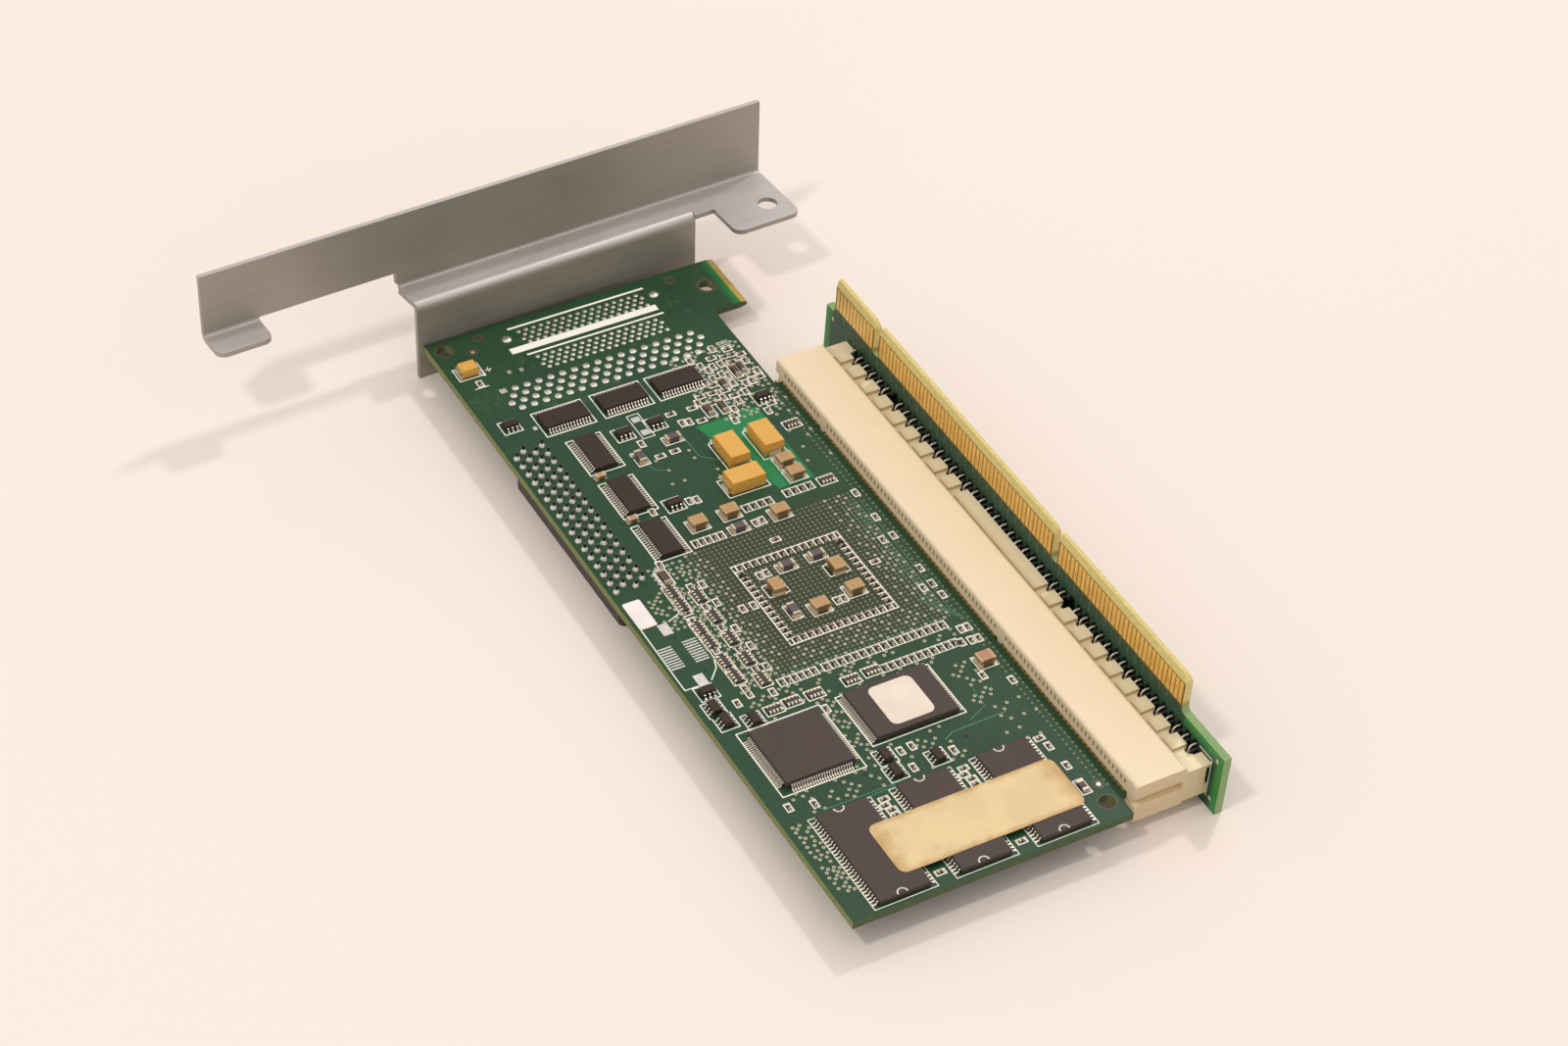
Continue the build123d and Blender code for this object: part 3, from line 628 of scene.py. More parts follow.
def paint_nodes():
    """Give the CAD nodes that no piece replaces their finishes."""
    finishes = {
        "main_board": CARD_GREEN, "riser_board": RISER_GREEN, "riser_fingers": FINGER_GOLD,
        "slot_housing": CREAM, "slot_contacts": TIN, "bracket": ZINC,
        "internal_connector_housing": CONNECTOR_BLACK, "io_processor": CHIP,
        "tantalum_terminals": TIN, "ceramic_capacitor_ends": BLOCK_END, "filter_coil_ends": BLOCK_END,
        "transceiver_chips": SMALL_CHIP, "memory_chips": CHIP, "flash_chip": CHIP,
        "bus_controller": CHIP, "small_regulators": SMALL_CHIP, "tantalum_capacitors": TANTALUM,
        "ceramic_capacitors": CERAMIC, "filter_coils": FERRITE,
    }
    for node, paint in finishes.items():
        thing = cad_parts[node]
        thing.data.materials.clear()
        thing.data.materials.append(paint.material)


# Small parts soldered flat: x, y and how far each is turned
SMALL_PARTS = (
    (36.9, 44.3, 90), (36.9, 41.6, 90), (38.9, 34.0, 90), (42.2, 34.8, 0), (42.4, 36.2, 0),
    (39.1, 38.6, 90), (43.1, 38.6, 90), (39.3, 47.9, 90), (33.2, 46.5, 0), (33.6, 49.6, 0),
    (46.1, 51.6, 0), (74.0, 54.9, 0), (81.5, 54.9, 0), (48.8, 26.5, 90), (48.7, 29.7, 90),
    (44.1, 24.9, 0), (27.6, 49.1, 90), (28.2, 51.8, 90), (28.9, 46.1, 0), (26.6, 44.9, 0),
    (15.1, 4.9, 0), (78.7, 34.8, 90), (86.0, 27.4, 0), (85.9, 28.9, 0), (98.0, 36.9, 0),
    (98.0, 38.4, 0), (92.3, 20.3, 0), (92.4, 22.5, 0), (87.5, 52.9, 0), (87.3, 55.3, 0),
    (92.0, 48.6, 90), (97.2, 55.2, 0), (102.0, 53.0, 0), (101.7, 55.1, 0), (62.4, 25.4, 0),
    (62.6, 26.9, 0), (75.4, 12.1, 0), (73.1, 33.7, 0), (73.0, 35.2, 0), (121.2, 21.2, 0),
    (136.1, 27.8, 0), (135.9, 30.2, 0), (140.5, 27.8, 0), (140.0, 36.4, 0), (129.7, 55.1, 0),
    (140.4, 7.8, 0), (139.2, 3.3, 0), (146.7, 52.1, 0), (152.1, 52.4, 0), (117.7, 53.8, 0),
    (117.8, 55.3, 0), (114.4, 53.6, 0), (113.1, 7.6, 0), (62.1, 17.7, 0), (146.2, 18.6, 90),
    (146.0, 34.9, 90), (110.5, 10.6, 0), (112.0, 10.6, 0), (113.4, 14.7, 0), (94.9, 14.4, 0),
    (96.2, 16.6, 0), (88.9, 14.4, 0), (88.7, 16.8, 0), (101.0, 14.5, 0), (101.3, 16.9, 0),
    (84.85, 10.6, 90), (88.9, 10.6, 90), (91.2, 10.5, 0), (95.45, 10.6, 90), (99.6, 10.6, 0),
    (105.05, 10.6, 90), (83.2, 14.4, 0), (83.4, 16.7, 0), (106.9, 14.7, 0), (107.2, 16.9, 0),
    (32.8, 48.7, 0), (36.9, 53.1, 0), (37.0, 51.7, 0), (36.5, 55.1, 90), (28.3, 53.3, 90),
    (26.5, 53.3, 90), (30.0, 48.2, 0), (29.9, 50.0, 0), (28.9, 55.0, 90), (42.8, 45.9, 0),
    (39.5, 42.9, 90), (31.0, 54.9, 0), (39.2, 50.4, 0), (44.6, 45.0, 90), (126.4, 50.9, 0),
    (105.1, 55.3, 0), (114.4, 55.0, 0), (117.4, 51.9, 0), (144.8, 19.2, 90), (147.6, 19.2, 90),
    (149.0, 19.2, 90), (144.6, 35.6, 90), (147.4, 35.6, 90), (148.8, 35.6, 90), (45.8, 44.4, 0),
    (44.4, 53.2, 90), (30.3, 52.3, 90), (30.6, 46.9, 0), (34.9, 45.6, 90), (36.0, 49.5, 0),
    (38.9, 45.6, 0), (41.0, 47.9, 0), (35.2, 53.9, 90), (34.7, 55.6, 0), (33.6, 44.6, 0),
    (38.3, 40.4, 0), (37.2, 46.9, 90), (25.2, 50.6, 0), (144.3, 51.6, 90), (163.8, 19.2, 90),
    (163.9, 35.6, 90),
)
# Ladders of small parts side by side along Y: x, the first and last y, and how many
LADDERS = (
    (68.4, 43.3, 48.0, 4), (73.3, 20.9, 26.2, 5), (112.0, 17.4, 24.0, 6), (112.0, 26.6, 51.0, 17),
    (117.0, 35.9, 50.6, 11), (68.8, 34.2, 38.9, 4),
)
# Packs of four resistors that the card's own piece doesn't hold, lying along Y
PACKS = (
    (117.3, 12.7), (117.0, 16.6), (117.1, 21.2), (116.9, 28.9), (116.6, 33.3), (68.4, 51.8),
    (51.5, 53.8),
)
PACK_SIZE = (1.4, 2.9, 0.55)
SMALL_SIZE = (1.0, 0.5, 0.45)
# Width of the lines printed between small parts that stand side by side
RUNG_WIDTH = 0.26
# Round targets for the machine that places the parts
TARGETS = ((5.8, 7.85), (158.4, 55.0))
# Larger flat parts with metal ends: x, y, length along X, width along Y and height
LONG_PARTS = (
    (32.9, 51.5, 3.0, 1.0, 0.6), (32.4, 53.1, 3.0, 1.0, 0.6), (35.3, 47.6, 2.6, 1.2, 0.6),
    (40.9, 41.2, 3.0, 1.3, 0.6), (41.2, 44.2, 3.0, 1.2, 0.6), (157.7, 52.1, 2.4, 1.2, 0.6),
    (78.7, 11.3, 3.4, 1.5, 0.5),
)
# Little brown capacitors between the chips of the column
CHIP_CAPACITORS = ((49.3, 13.3), (62.55, 13.2))
# Areas of plated through holes: low x, high x, low y, high y, pitch, share of its places in use
VIA_FIELDS = (
    (73.43, 110.6, 17.5, 54.0, 1.0, 1.0), (49.5, 58.0, 25.0, 35.0, 2.4, 0.25),
    (76.0, 111.5, 9.6, 17.2, 1.25, 1.0), (112.5, 120.0, 8.5, 52.0, 1.7, 0.4),
    (134.0, 142.5, 5.0, 38.0, 2.0, 0.4), (143.5, 161.0, 1.6, 4.9, 1.3, 0.9),
    (40.0, 64.0, 50.0, 56.0, 2.6, 0.35), (24.5, 46.0, 41.0, 56.0, 1.4, 0.7),
    (122.0, 132.0, 46.0, 50.5, 1.8, 0.5), (134.0, 144.0, 46.0, 55.0, 2.6, 0.3),
    (118.0, 135.0, 21.0, 24.0, 1.5, 0.6), (66.0, 72.0, 14.0, 30.0, 3.0, 0.15),
    (82.0, 92.0, 5.6, 9.0, 1.4, 0.7),
)


def make_wires(name, leads, chips):
    """Bent leads in place of the straight ones: level at the chip, then down to a flat foot."""
    boxes = islands(leads)
    homes = [(low + high) / 2 for low, high in islands(chips)]
    size = boxes[0][1] - boxes[0][0]
    reach, width, rise = max(size.x, size.y), min(size.x, size.y), size.z
    sheet = 0.14
    lead = Piece(name, None)
    lead.prism([
        (0, rise), (0.22 * reach, rise), (0.36 * reach, rise - 0.08), (0.52 * reach, sheet + 0.05),
        (0.62 * reach, sheet), (reach, sheet), (reach, 0), (0.52 * reach, 0), (0.42 * reach, 0.05),
        (0.26 * reach, rise - sheet - 0.04), (0.16 * reach, rise - sheet), (0, rise - sheet)], width)
    pattern = lead.pattern()
    piece = Piece(name, "tinned_metal", LEAD)
    pads = Piece(name + "_pads", "tinned_metal", PAD, DEEP_SHADE)
    past_foot, pad_half, shade_top = 0.35, width * 0.52, 0.012
    for low, high in boxes:
        middle = (low + high) / 2
        home = min(homes, key=lambda point: (point - middle).length)
        away = middle - home
        turn = 0 if high.x - low.x > high.y - low.y else 90
        if (away.x if turn == 0 else away.y) < 0:
            turn += 180
        spin = Matrix.Rotation(math.radians(turn), 4, "Z")
        start = Vector((middle.x, middle.y, low.z)) - spin @ Vector((reach / 2, 0, 0))
        place = Matrix.Translation(start) @ spin
        piece.stamp(pattern, place)
        pads.block((0.55 * reach, -pad_half, SINK), (reach + past_foot, pad_half, PAD_TOP), 0, place)
        # Painted shade: a near-black sheet under the inner part of each lead
        pads.block((-0.1, -width, SINK), (0.75 * reach, width, shade_top), 1, place)
    piece.finish(leads)
    pads.finish()


def chip_print(chips, leads, width):
    """White outlines printed round the chips and their leads."""
    piece = Piece(chips + "_print", "white_paper", SILK)
    gap, search = 0.45, 2
    feet = islands(leads)
    for low, high in islands(chips):
        near = [
            pair for pair in feet
            if low.x - search < (pair[0].x + pair[1].x) / 2 < high.x + search
            and low.y - search < (pair[0].y + pair[1].y) / 2 < high.y + search]
        low = Vector([min([low[k]] + [pair[0][k] for pair in near]) - gap for k in range(3)])
        high = Vector([max([high[k]] + [pair[1][k] for pair in near]) + gap for k in range(3)])
        piece.frame(low, high, width)
    piece.finish()


def small_part_pattern(size, cap):
    """A flat part with metal ends and solder, lying along X at the origin."""
    length, width, height = size
    part = Piece("small_part", None)
    half, side = length / 2, width / 2
    past_end, past_side, inset = 0.25, 0.06, 0.02
    part.block((cap - half, inset - side, 0), (half - cap, side - inset, height - inset))
    for sign in (-1, 1):
        pad = sorted((sign * (half + past_end), sign * (half - cap)))
        part.block((pad[0], -side - past_side, SINK), (pad[1], side + past_side, PAD_TOP), 1)
        end = sorted((sign * half, sign * (half - cap)))
        part.block((end[0], -side, 0), (end[1], side, height), 1)
        part.wedge(sign * half, sign * 0.22, width * 0.9, height * 0.6, 1)
    return part.pattern()


def place_ladders(piece, printed, pattern):
    """Rows of small parts side by side, each row in a printed ladder."""
    for x, first, last, count in LADDERS:
        step = (last - first) / (count - 1)
        for k in range(count):
            piece.stamp(pattern, on_card(x, first + k * step))
        for k in range(count + 1):
            y = first + (k - 0.5) * step
            printed.line([(x - 1, y), (x + 1, y)], RUNG_WIDTH)
        for side in (-1, 1):
            ends = [(x + side, first - step / 2), (x + side, last + step / 2)]
            printed.line(ends, FINE_PRINT_WIDTH, PRINT_TOP + 0.01)


def place_ring(piece, printed, pattern):
    """The square ring of small capacitors, with its printed frame and the rungs between them."""
    ring = islands("bypass_capacitors")
    margin = Vector((0.35, 0.35, 0))
    low = Vector([min(pair[0][k] for pair in ring) for k in range(3)]) - margin
    high = Vector([max(pair[1][k] for pair in ring) for k in range(3)]) + margin
    printed.frame(low, high, PRINT_WIDTH)
    rungs = set()
    for part_low, part_high in ring:
        middle, size = (part_low + part_high) / 2, part_high - part_low
        place = on_card(middle.x, middle.y, 0 if size.x > size.y else 90)
        piece.stamp(pattern, place)
        for side in (-0.75, 0.75):
            rung = place @ Vector((0, side, 0))
            spot = (round(rung.x, 1), round(rung.y, 1))
            if spot not in rungs:
                rungs.add(spot)
                ends = [place @ Vector((-0.8, side, 0)), place @ Vector((0.8, side, 0))]
                printed.line(ends, RUNG_WIDTH, PRINT_TOP + 0.014)


def make_small_parts():
    """Small flat parts in printed frames, the ladders, the ring and the longer flat parts."""
    piece = Piece("small_parts", "small_ceramic", SMALL_CERAMIC, SMALL_END)
    printed = Piece("small_parts_print", "white_paper", SILK)
    pattern = small_part_pattern(SMALL_SIZE, 0.22)
    past_end, past_side = 0.45, 0.3
    for x, y, turn in SMALL_PARTS:
        piece.stamp(pattern, on_card(x, y, turn))
        printed.frame_round(
            x, y, SMALL_SIZE[0] / 2 + past_end, SMALL_SIZE[1] / 2 + past_side, PRINT_WIDTH, turn)
    place_ladders(piece, printed, pattern)
    place_ring(piece, printed, pattern)
    past_end, past_side = 0.6, 0.35
    for x, y, length, width, height in LONG_PARTS:
        piece.stamp(small_part_pattern((length, width, height), 0.45), on_card(x, y))
        printed.frame_round(x, y, length / 2 + past_end, width / 2 + past_side, PRINT_WIDTH)
    piece.finish("bypass_capacitors")
    printed.finish()


def make_chip_capacitors():
    """The brown capacitors between the chips of the column."""
    brown = Piece("chip_capacitors", "ceramic_tan", CERAMIC, BLOCK_END)
    pattern = small_part_pattern((2.0, 1.25, 0.95), 0.4)
    for x, y in CHIP_CAPACITORS:
        brown.stamp(pattern, on_card(x, y, 90))
    brown.finish()


def make_packs():
    """Flat resistor packs: a dark body with four terminals along both long sides."""
    piece = Piece("resistor_packs", "resistor_black", RESISTOR, PAD)
    printed = Piece("resistor_packs_print", "white_paper", SILK)
    packs = [((low + high) / 2, high - low, 0) for low, high in islands("resistor_networks")]
    packs += [(Vector((x, y, 0)), Vector(PACK_SIZE), 90) for x, y in PACKS]
    body_inset, terminal_inset, terminal_reach, terminal_half = 0.15, 0.28, 0.22, 0.2
    for middle, size, turn in packs:
        half, side = max(size.x, size.y) / 2, min(size.x, size.y) / 2
        place = on_card(middle.x, middle.y, turn)
        piece.block((-half, body_inset - side, 0), (half, side - body_inset, size.z), 0, place)
        for k in range(4):
            x = (k - 1.5) * half / 2
            for sign in (-1, 1):
                ends = sorted((sign * (side - terminal_inset), sign * (side + terminal_reach)))
                piece.block(
                    (x - terminal_half, ends[0], 0), (x + terminal_half, ends[1], size.z + 0.02), 1, place)
        printed.frame_round(middle.x, middle.y, half + 0.3, side + 0.5, PRINT_WIDTH, turn)
    piece.finish("resistor_networks")
    printed.finish()


def make_regulator_leads():
    """Leads on the long sides of the small moulded chips, and their printed frames."""
    lead = Piece("regulator_lead", None)
    lead.prism([
        (0, 0.7), (0.2, 0.7), (0.35, 0.62), (0.5, 0.18), (0.85, 0.14), (0.85, 0), (0.42, 0),
        (0.25, 0.5), (0, 0.55)], 0.36)
    pattern = lead.pattern()
    piece = Piece("small_regulator_leads", "tinned_metal", TIN)
    printed = Piece("small_regulator_print", "white_paper", SILK)
    for low, high in islands("small_regulators"):
        middle, size = (low + high) / 2, high - low
        turn = 0 if size.x > size.y else 90
        length, width = max(size.x, size.y), min(size.x, size.y)
        for side in (-90, 90):
            for k in (-1, 0, 1):
                step = Matrix.Translation((width / 2 - 0.05, k * length / 3.2, 0))
                piece.stamp(pattern, on_card(middle.x, middle.y, turn + side) @ step)
        printed.frame_round(
            middle.x, middle.y, length / 2 + 0.4, width / 2 + 1.0, BLOCK_PRINT_WIDTH, turn)
    piece.finish()
    printed.finish()


def make_block_prints():
    """White printed frames and solder pads round the block capacitors and coils."""
    printed = Piece("block_print", "white_paper", SILK)
    pads = Piece("block_pads", "tinned_metal", PAD)
    past_x, past_y, pad_top = 0.35, 0.15, 0.06
    for ends in ("ceramic_capacitor_ends", "filter_coil_ends", "tantalum_terminals"):
        for low, high in islands(ends):
            pads.block((low.x - past_x, low.y - past_y, SINK), (high.x + past_x, high.y + past_y, pad_top))
    for low, high in islands("ceramic_capacitors"):
        size = high - low
        square = size.x <= size.y < size.x * 1.02
        grow = Vector((0.45, 0.95, 0) if square else (0.5, 0.9, 0))
        printed.frame(low - grow, high + grow, BLOCK_PRINT_WIDTH)
    for node, margin in (("filter_coils", 0.95), ("tantalum_capacitors", 0.75)):
        for low, high in islands(node):
            lengthwise = high.x - low.x > high.y - low.y
            grow = Vector((margin, 0.45, 0) if lengthwise else (0.45, margin, 0))
            printed.frame(low - grow, high + grow, BLOCK_PRINT_WIDTH)
    printed.finish()
    pads.finish()


def make_polarity_marks():
    """The plus signs by the yellow capacitors, and the bar by the small one."""
    signs = Piece("polarity_marks", "white_paper", SILK)
    arm = 0.55
    for low, high in islands("tantalum_capacitors"):
        small = high.x - low.x < 4 and high.y - low.y < 4
        if small:
            signs.line([(low.x - 0.4, high.y + 0.9), (high.x + 0.5, high.y + 0.9)], 0.6)
        x, y = (high.x - 0.6, high.y + 2.3) if small else (low.x - 1.2, low.y + 0.6)
        signs.line([(x - arm, y), (x + arm, y)], 0.2)
        signs.line([(x, y - arm), (x, y + arm)], 0.2)
    signs.finish()


def make_notch_highlights():
    """Painted highlights: pale arcs at both ends of the memory chips, where light catches the rims of
    their notches.
    """
    arcs = Piece("chip_notch_marks", "white_paper", SILK)
    radius, parts = 0.95, 8
    for low, high in islands("memory_chips"):
        y = (low.y + high.y) / 2 - 0.6
        for x, way in ((high.x - 0.15, math.pi), (low.x + 0.15, 0)):
            angles = [way - math.pi / 2 + math.pi * k / parts for k in range(parts + 1)]
            points = [Vector((x + radius * math.cos(a), y + radius * math.sin(a))) for a in angles]
            for start, end in zip(points, points[1:]):
                arcs.strip(start, end, 0.26, 0.05, 0.025, high.z)
    arcs.finish()


def make_pin_tips():
    """Solder cones of the cable connector, with the pin tips that stand in them a little askew."""
    pin = Piece("pin", None)
    pin.turning([(0, 0.74), (0.3, 0.7), (0.6, 0.5), (0.85, 0.28)], 10)
    pin.block((-0.2, -0.2, 0), (0.2, 0.2, 1.8), 1)
    pattern = pin.pattern()
    lean = 0.05
    pins = Piece("connector_pin_tips", "tinned_metal", SOLDER, PIN_DARK)
    for low, high in islands("internal_connector_pins"):
        middle = (low + high) / 2
        about_x = Matrix.Rotation(random.uniform(-lean, lean), 4, "X")
        about_y = Matrix.Rotation(random.uniform(-lean, lean), 4, "Y")
        pins.stamp(pattern, on_card(middle.x, middle.y) @ about_x @ about_y)
    pins.finish("internal_connector_pins")


def make_footprint_solder():
    """The bright domes, the dots of the empty footprints and single patches of solder."""
    solder = Piece("footprint_solder", "tinned_metal", SOLDER)
    for low, high in islands("solder_domes"):
        middle = (low + high) / 2
        profile = [(0, 1.05), (0.14, 1.0), (0.27, 0.8), (0.35, 0.4), (0.37, 0.0)]
        solder.turning(profile, 16, (middle.x, middle.y))
    fine = round_pattern("fine_dot", 8, (0, 0.5), (0.08, 0.44), (0.12, 0.24), (0.13, 0.0))
    large = round_pattern("large_dot", 12, (0, 0.76), (0.08, 0.68), (0.13, 0.4), (0.14, 0.0))
    # Rows of dots: first x, pitch of the rows, first y, pitch in a row, shift of every second row
    for dot, first_x, row_pitch, first_y, pitch, shift in (
            (fine, 4.0, 1.2, 18.7, 1.63, 0.8), (fine, 12.4, 1.2, 18.7, 1.63, 0.8),
            (large, 18.95, 1.9, 7.95, 2.575, 1.3)):
        for row in range(4):
            for k in range(17):
                x = first_x + row_pitch * row
                y = first_y + pitch * k + shift * (row % 2)
                if dot == large and row == 0 and k == 0:
                    solder.pad(x, y, 0.65, 0.7, 0.12)
                else:
                    solder.stamp(dot, on_card(x, y))
    # Bare pads: x, y, reach along X, reach along Y and height
    pads = [(90.9, 4.95, 1.5, 1.0, 0.08), (105.1, 4.6, 1.5, 1.0, 0.08)]
    pads += [(95.2 + 0.68 * k, y, 0.17, 1.4, 0.06) for y in (2.4, 7.4) for k in range(9)]
    pads += [(x, y, 0.5, 0.4, 0.1) for x, y in ((14.4, 11.5), (14.7, 14.0), (31.4, 8.6))]
    pads += [(x, 27.15, 0.75, 0.85, 0.12) for x in (37.5, 41.5)]
    for x, y, reach_x, reach_y, top in pads:
        solder.pad(x, y, reach_x, reach_y, top)
    solder.finish("solder_domes")


def make_footprint_print():
    """Lines printed round the empty footprints, and a few marks beside them."""
    printed = Piece("footprint_print", "white_paper", SILK)
    for points, width in (
            ([(2.6, 17.2), (2.6, 46.9)], 0.5),
            ([(9.0, 15.4), (9.0, 46.1)], 1.7),
            ([(11.1, 17.3), (11.1, 47.1)], 0.45),
            ([(89.2, 0.9), (104.0, 0.75), (106.2, 0.75), (106.2, 3.3)], BLOCK_PRINT_WIDTH),
            ([(76.9, 9.9), (99.2, 9.5), (101.0, 9.4), (103.5, 8.6), (105.8, 6.4)], BLOCK_PRINT_WIDTH),
            ([(88.1, 9.7), (89.3, 6.5)], BLOCK_PRINT_WIDTH),
            ([(16.2, 3.4), (16.2, 6.2)], 0.2)):
        printed.line(points, width)
    for k in range(5):
        x = 24.0 + 0.55 * k
        printed.line([(x, 52.2), (x, 54.6)], 0.14)
    printed.frame((35.9, 25.9), (43.0, 28.4), FINE_PRINT_WIDTH)
    printed.finish()


def make_rings():
    """Bare rings round the card's holes and targets, the targets' dots and the tooling holes."""
    rings = Piece("hole_rings", "board_green", HOLE_RING)
    for x, y, reach in ((3.2, 2.87, 2.1), (7.35, 59.15, 2.2), (162.73, 54.07, 1.95)):
        rings.ring(x, y, 1.6, reach, 28)
    for x, y in TARGETS + ((2.6, 10.55), (2.7, 53.15)):
        rings.ring(x, y, 0.6, 1.2, 20)
    rings.finish()
    bright = Piece("targets", "tinned_metal", SOLDER)
    for x, y in TARGETS:
        bright.turning([(0, 0.45), (0.05, 0.4), (0.06, 0)], 16, (x, y))
    bright.finish()
    # Painted shade: the tooling holes are near-black discs
    dark = Piece("tooling_holes", "board_green", DEEP_SHADE)
    for x, y, reach in (
            (138.0, 40.2, 0.5), (138.2, 19.3, 0.5), (93.4, 5.6, 0.35), (103.2, 6.4, 0.35),
            (86.0, 1.2, 0.25)):
        dark.turning([(0, reach), (0.025, reach), (0.026, 0)], 14, (x, y))
    dark.finish()


def keep_clear():
    """Boxes in X and Y that plated holes stay out of."""
    boxes = []
    for node in (
            "transceiver_chips", "transceiver_leads", "memory_chips", "memory_leads", "flash_chip",
            "flash_leads", "bus_controller", "bus_controller_leads", "tantalum_capacitors",
            "ceramic_capacitors", "ceramic_capacitor_ends", "filter_coils", "filter_coil_ends",
            "small_regulators", "side_label", "bypass_capacitors", "resistor_networks"):
        gap = 0.15 if node == "resistor_networks" else 0.5
        boxes += [(low.x - gap, high.x + gap, low.y - gap, high.y + gap) for low, high in islands(node)]
    for parts, reach_x, reach_y in ((SMALL_PARTS, 1.0, 0.55), (PACKS, 1.2, 1.9), (LONG_PARTS, 2.0, 1.2)):
        for part in parts:
            x, y = part[:2]
            boxes.append((x - reach_x, x + reach_x, y - reach_y, y + reach_y))
    for ladder in LADDERS:
        x, first, last = ladder[:3]
        boxes.append((x - 1.3, x + 1.3, first - 1.1, last + 1.1))
    return boxes


def via_places():
    """Where the plated holes are: x, y and the number of their field, which is 0 by the processor."""
    boxes = keep_clear()
    jitter = 0.14
    places = []
    for field, (x_low, x_high, y_low, y_high, pitch, share) in enumerate(VIA_FIELDS):
        stagger = 2 if field else 1
        for row in range(int((x_high - x_low) / pitch * stagger) + 1):
            for column in range(int((y_high - y_low) / pitch) + 1):
                if random.random() > share:
                    continue
                x = x_low + row * pitch / stagger
                y = y_low + column * pitch + (pitch / 2 if row % stagger else 0)
                if field:
                    x += random.uniform(-jitter, jitter)
                    y += random.uniform(-jitter, jitter)
                if not any(left < x < right and near < y < far for left, right, near, far in boxes):
                    places.append((x, y, field))
    return places


def make_vias():
    """Plated through holes, filled under the processor and open rings elsewhere."""
    filled = Piece("filled_vias", "board_green", VIA_PALE)
    open_ones = Piece("open_vias", "contact_gold", VIA_RING, DEEP_SHADE)
    underneath = Piece("open_vias_underneath", "contact_gold", VIA_RING, DEEP_SHADE)
    dot = round_pattern("small_via", 6, (0, 0.28), (0.03, 0.24), (0.035, 0))
    hole = Piece("ring_via", None)
    hole.turning([(0, 0.36), (0.045, 0.3), (0.05, 0.14)], 8)
    # Painted shade: the open hole in each ring is a near-black disc
    hole.turning([(0.03, 0.16), (0.031, 0)], 8, paint=1)
    ring = hole.pattern()
    low, high = node_box("io_processor")
    room, ringed_share = 1.15, 0.6
    # In the processor's field only the holes beyond these have open rings
    inner_near, inner_far, inner_right = 21, 48, 104.5
    ringed = []
    for x, y, field in via_places():
        outer = field or y < inner_near or y > inner_far or x > inner_right
        free = all(abs(x - other[0]) + abs(y - other[1]) > room for other in ringed)
        if outer and free and (field or random.random() < ringed_share):
            open_ones.stamp(ring, on_card(x, y))
            ringed.append((x, y))
            if not (low.x < x < high.x and low.y < y < high.y):
                underneath.stamp(ring, on_card(x, y))
        elif not field:
            filled.stamp(dot, on_card(x, y))
    # Two rows along the socket, with a hole for every contact
    for y in (55.2, 56.5):
        for k in range(94):
            filled.stamp(dot, on_card(41.0 + CONTACT_PITCH * k, y))
    filled.finish()
    open_ones.finish()
    underneath.turn_over()
    underneath.finish()


def make_underside():
    """Solder balls round the processor's rim, and outlines printed under the card."""
    low, high = node_box("io_processor")
    inset, count = 0.7, 24
    ball = round_pattern(
        "ball", 8, (high.z, 0.16), (high.z + 0.1, 0.27), (-CARD_THICKNESS - 0.1, 0.27),
        (-CARD_THICKNESS, 0.2))
    balls = Piece("processor_balls", "tinned_metal", SOLDER)
    for k in range(count):
        along = inset + k * (high.x - low.x - 2 * inset) / (count - 1)
        spots = [(low.x + along, y) for y in (low.y + inset, high.y - inset)]
        if 0 < k < count - 1:
            spots += [(x, low.y + along) for x in (low.x + inset, high.x - inset)]
        for x, y in spots:
            balls.stamp(ball, on_card(x, y))
    balls.finish()
    printed = Piece("underside_print", "white_paper", SILK)
    for node, margin in (("io_processor", 0.8), ("internal_connector_housing", 0.6)):
        low, high = node_box(node)
        grow = Vector((margin, margin, 0))
        printed.frame(low - grow, high + grow, PRINT_WIDTH)
    printed.turn_over()
    printed.finish()


def make_traces():
    """Copper lines that show through the mask, as thin strips on the card."""
    traces = Piece("traces", "board_green", TRACE)
    for k in range(6):
        y = 50.6 + 0.8 * k
        traces.line([(76, y), (104 + k, y), (108 + k, y + 1.5)], 0.14)
    for points, width in (
            ([(136.0, 49.8), (136.1, 38.6), (137.2, 36.4)], 0.2),
            ([(128.6, 47.5), (133.0, 47.2), (135.0, 43.0)], 0.15),
            ([(141.5, 24.5), (143.0, 22.0), (143.2, 8.0)], 0.16),
            ([(142.4, 24.0), (142.4, 9.0), (141.2, 7.5)], 0.16),
            ([(45.0, 33.0), (52.0, 33.2), (55.0, 36.5), (57.5, 36.5)], 0.2),
            ([(46.0, 21.0), (52.0, 24.0), (53.0, 26.0)], 0.2)):
        traces.line(points, width)
    traces.finish()


def make_socket_trim():
    """Dark blocks along the socket's lip, painted with the shade inside its contact openings, and gold
    slivers of the card's contacts.
    """
    front = node_box("slot_housing")[0].y
    dark = Piece("socket_cavities", "black_plastic", CAVITY_SHADE)
    gold = Piece("card_contacts", "contact_gold", GOLD)
    key_places = (11, 12, 62, 63)
    half, bottom, top = 0.26, 1.6, 2.5
    proud, buried = 0.015, 0.1
    for k in range(96):
        if k in key_places:
            continue
        x = FIRST_CONTACT + CONTACT_PITCH * k
        dark.block((x - half, front - proud, bottom), (x + half, front + buried, top))
        gold.block((x - 0.45, front - 0.4, SINK), (x + 0.5, front + buried, PAD_TOP))
    dark.finish()
    gold.finish()


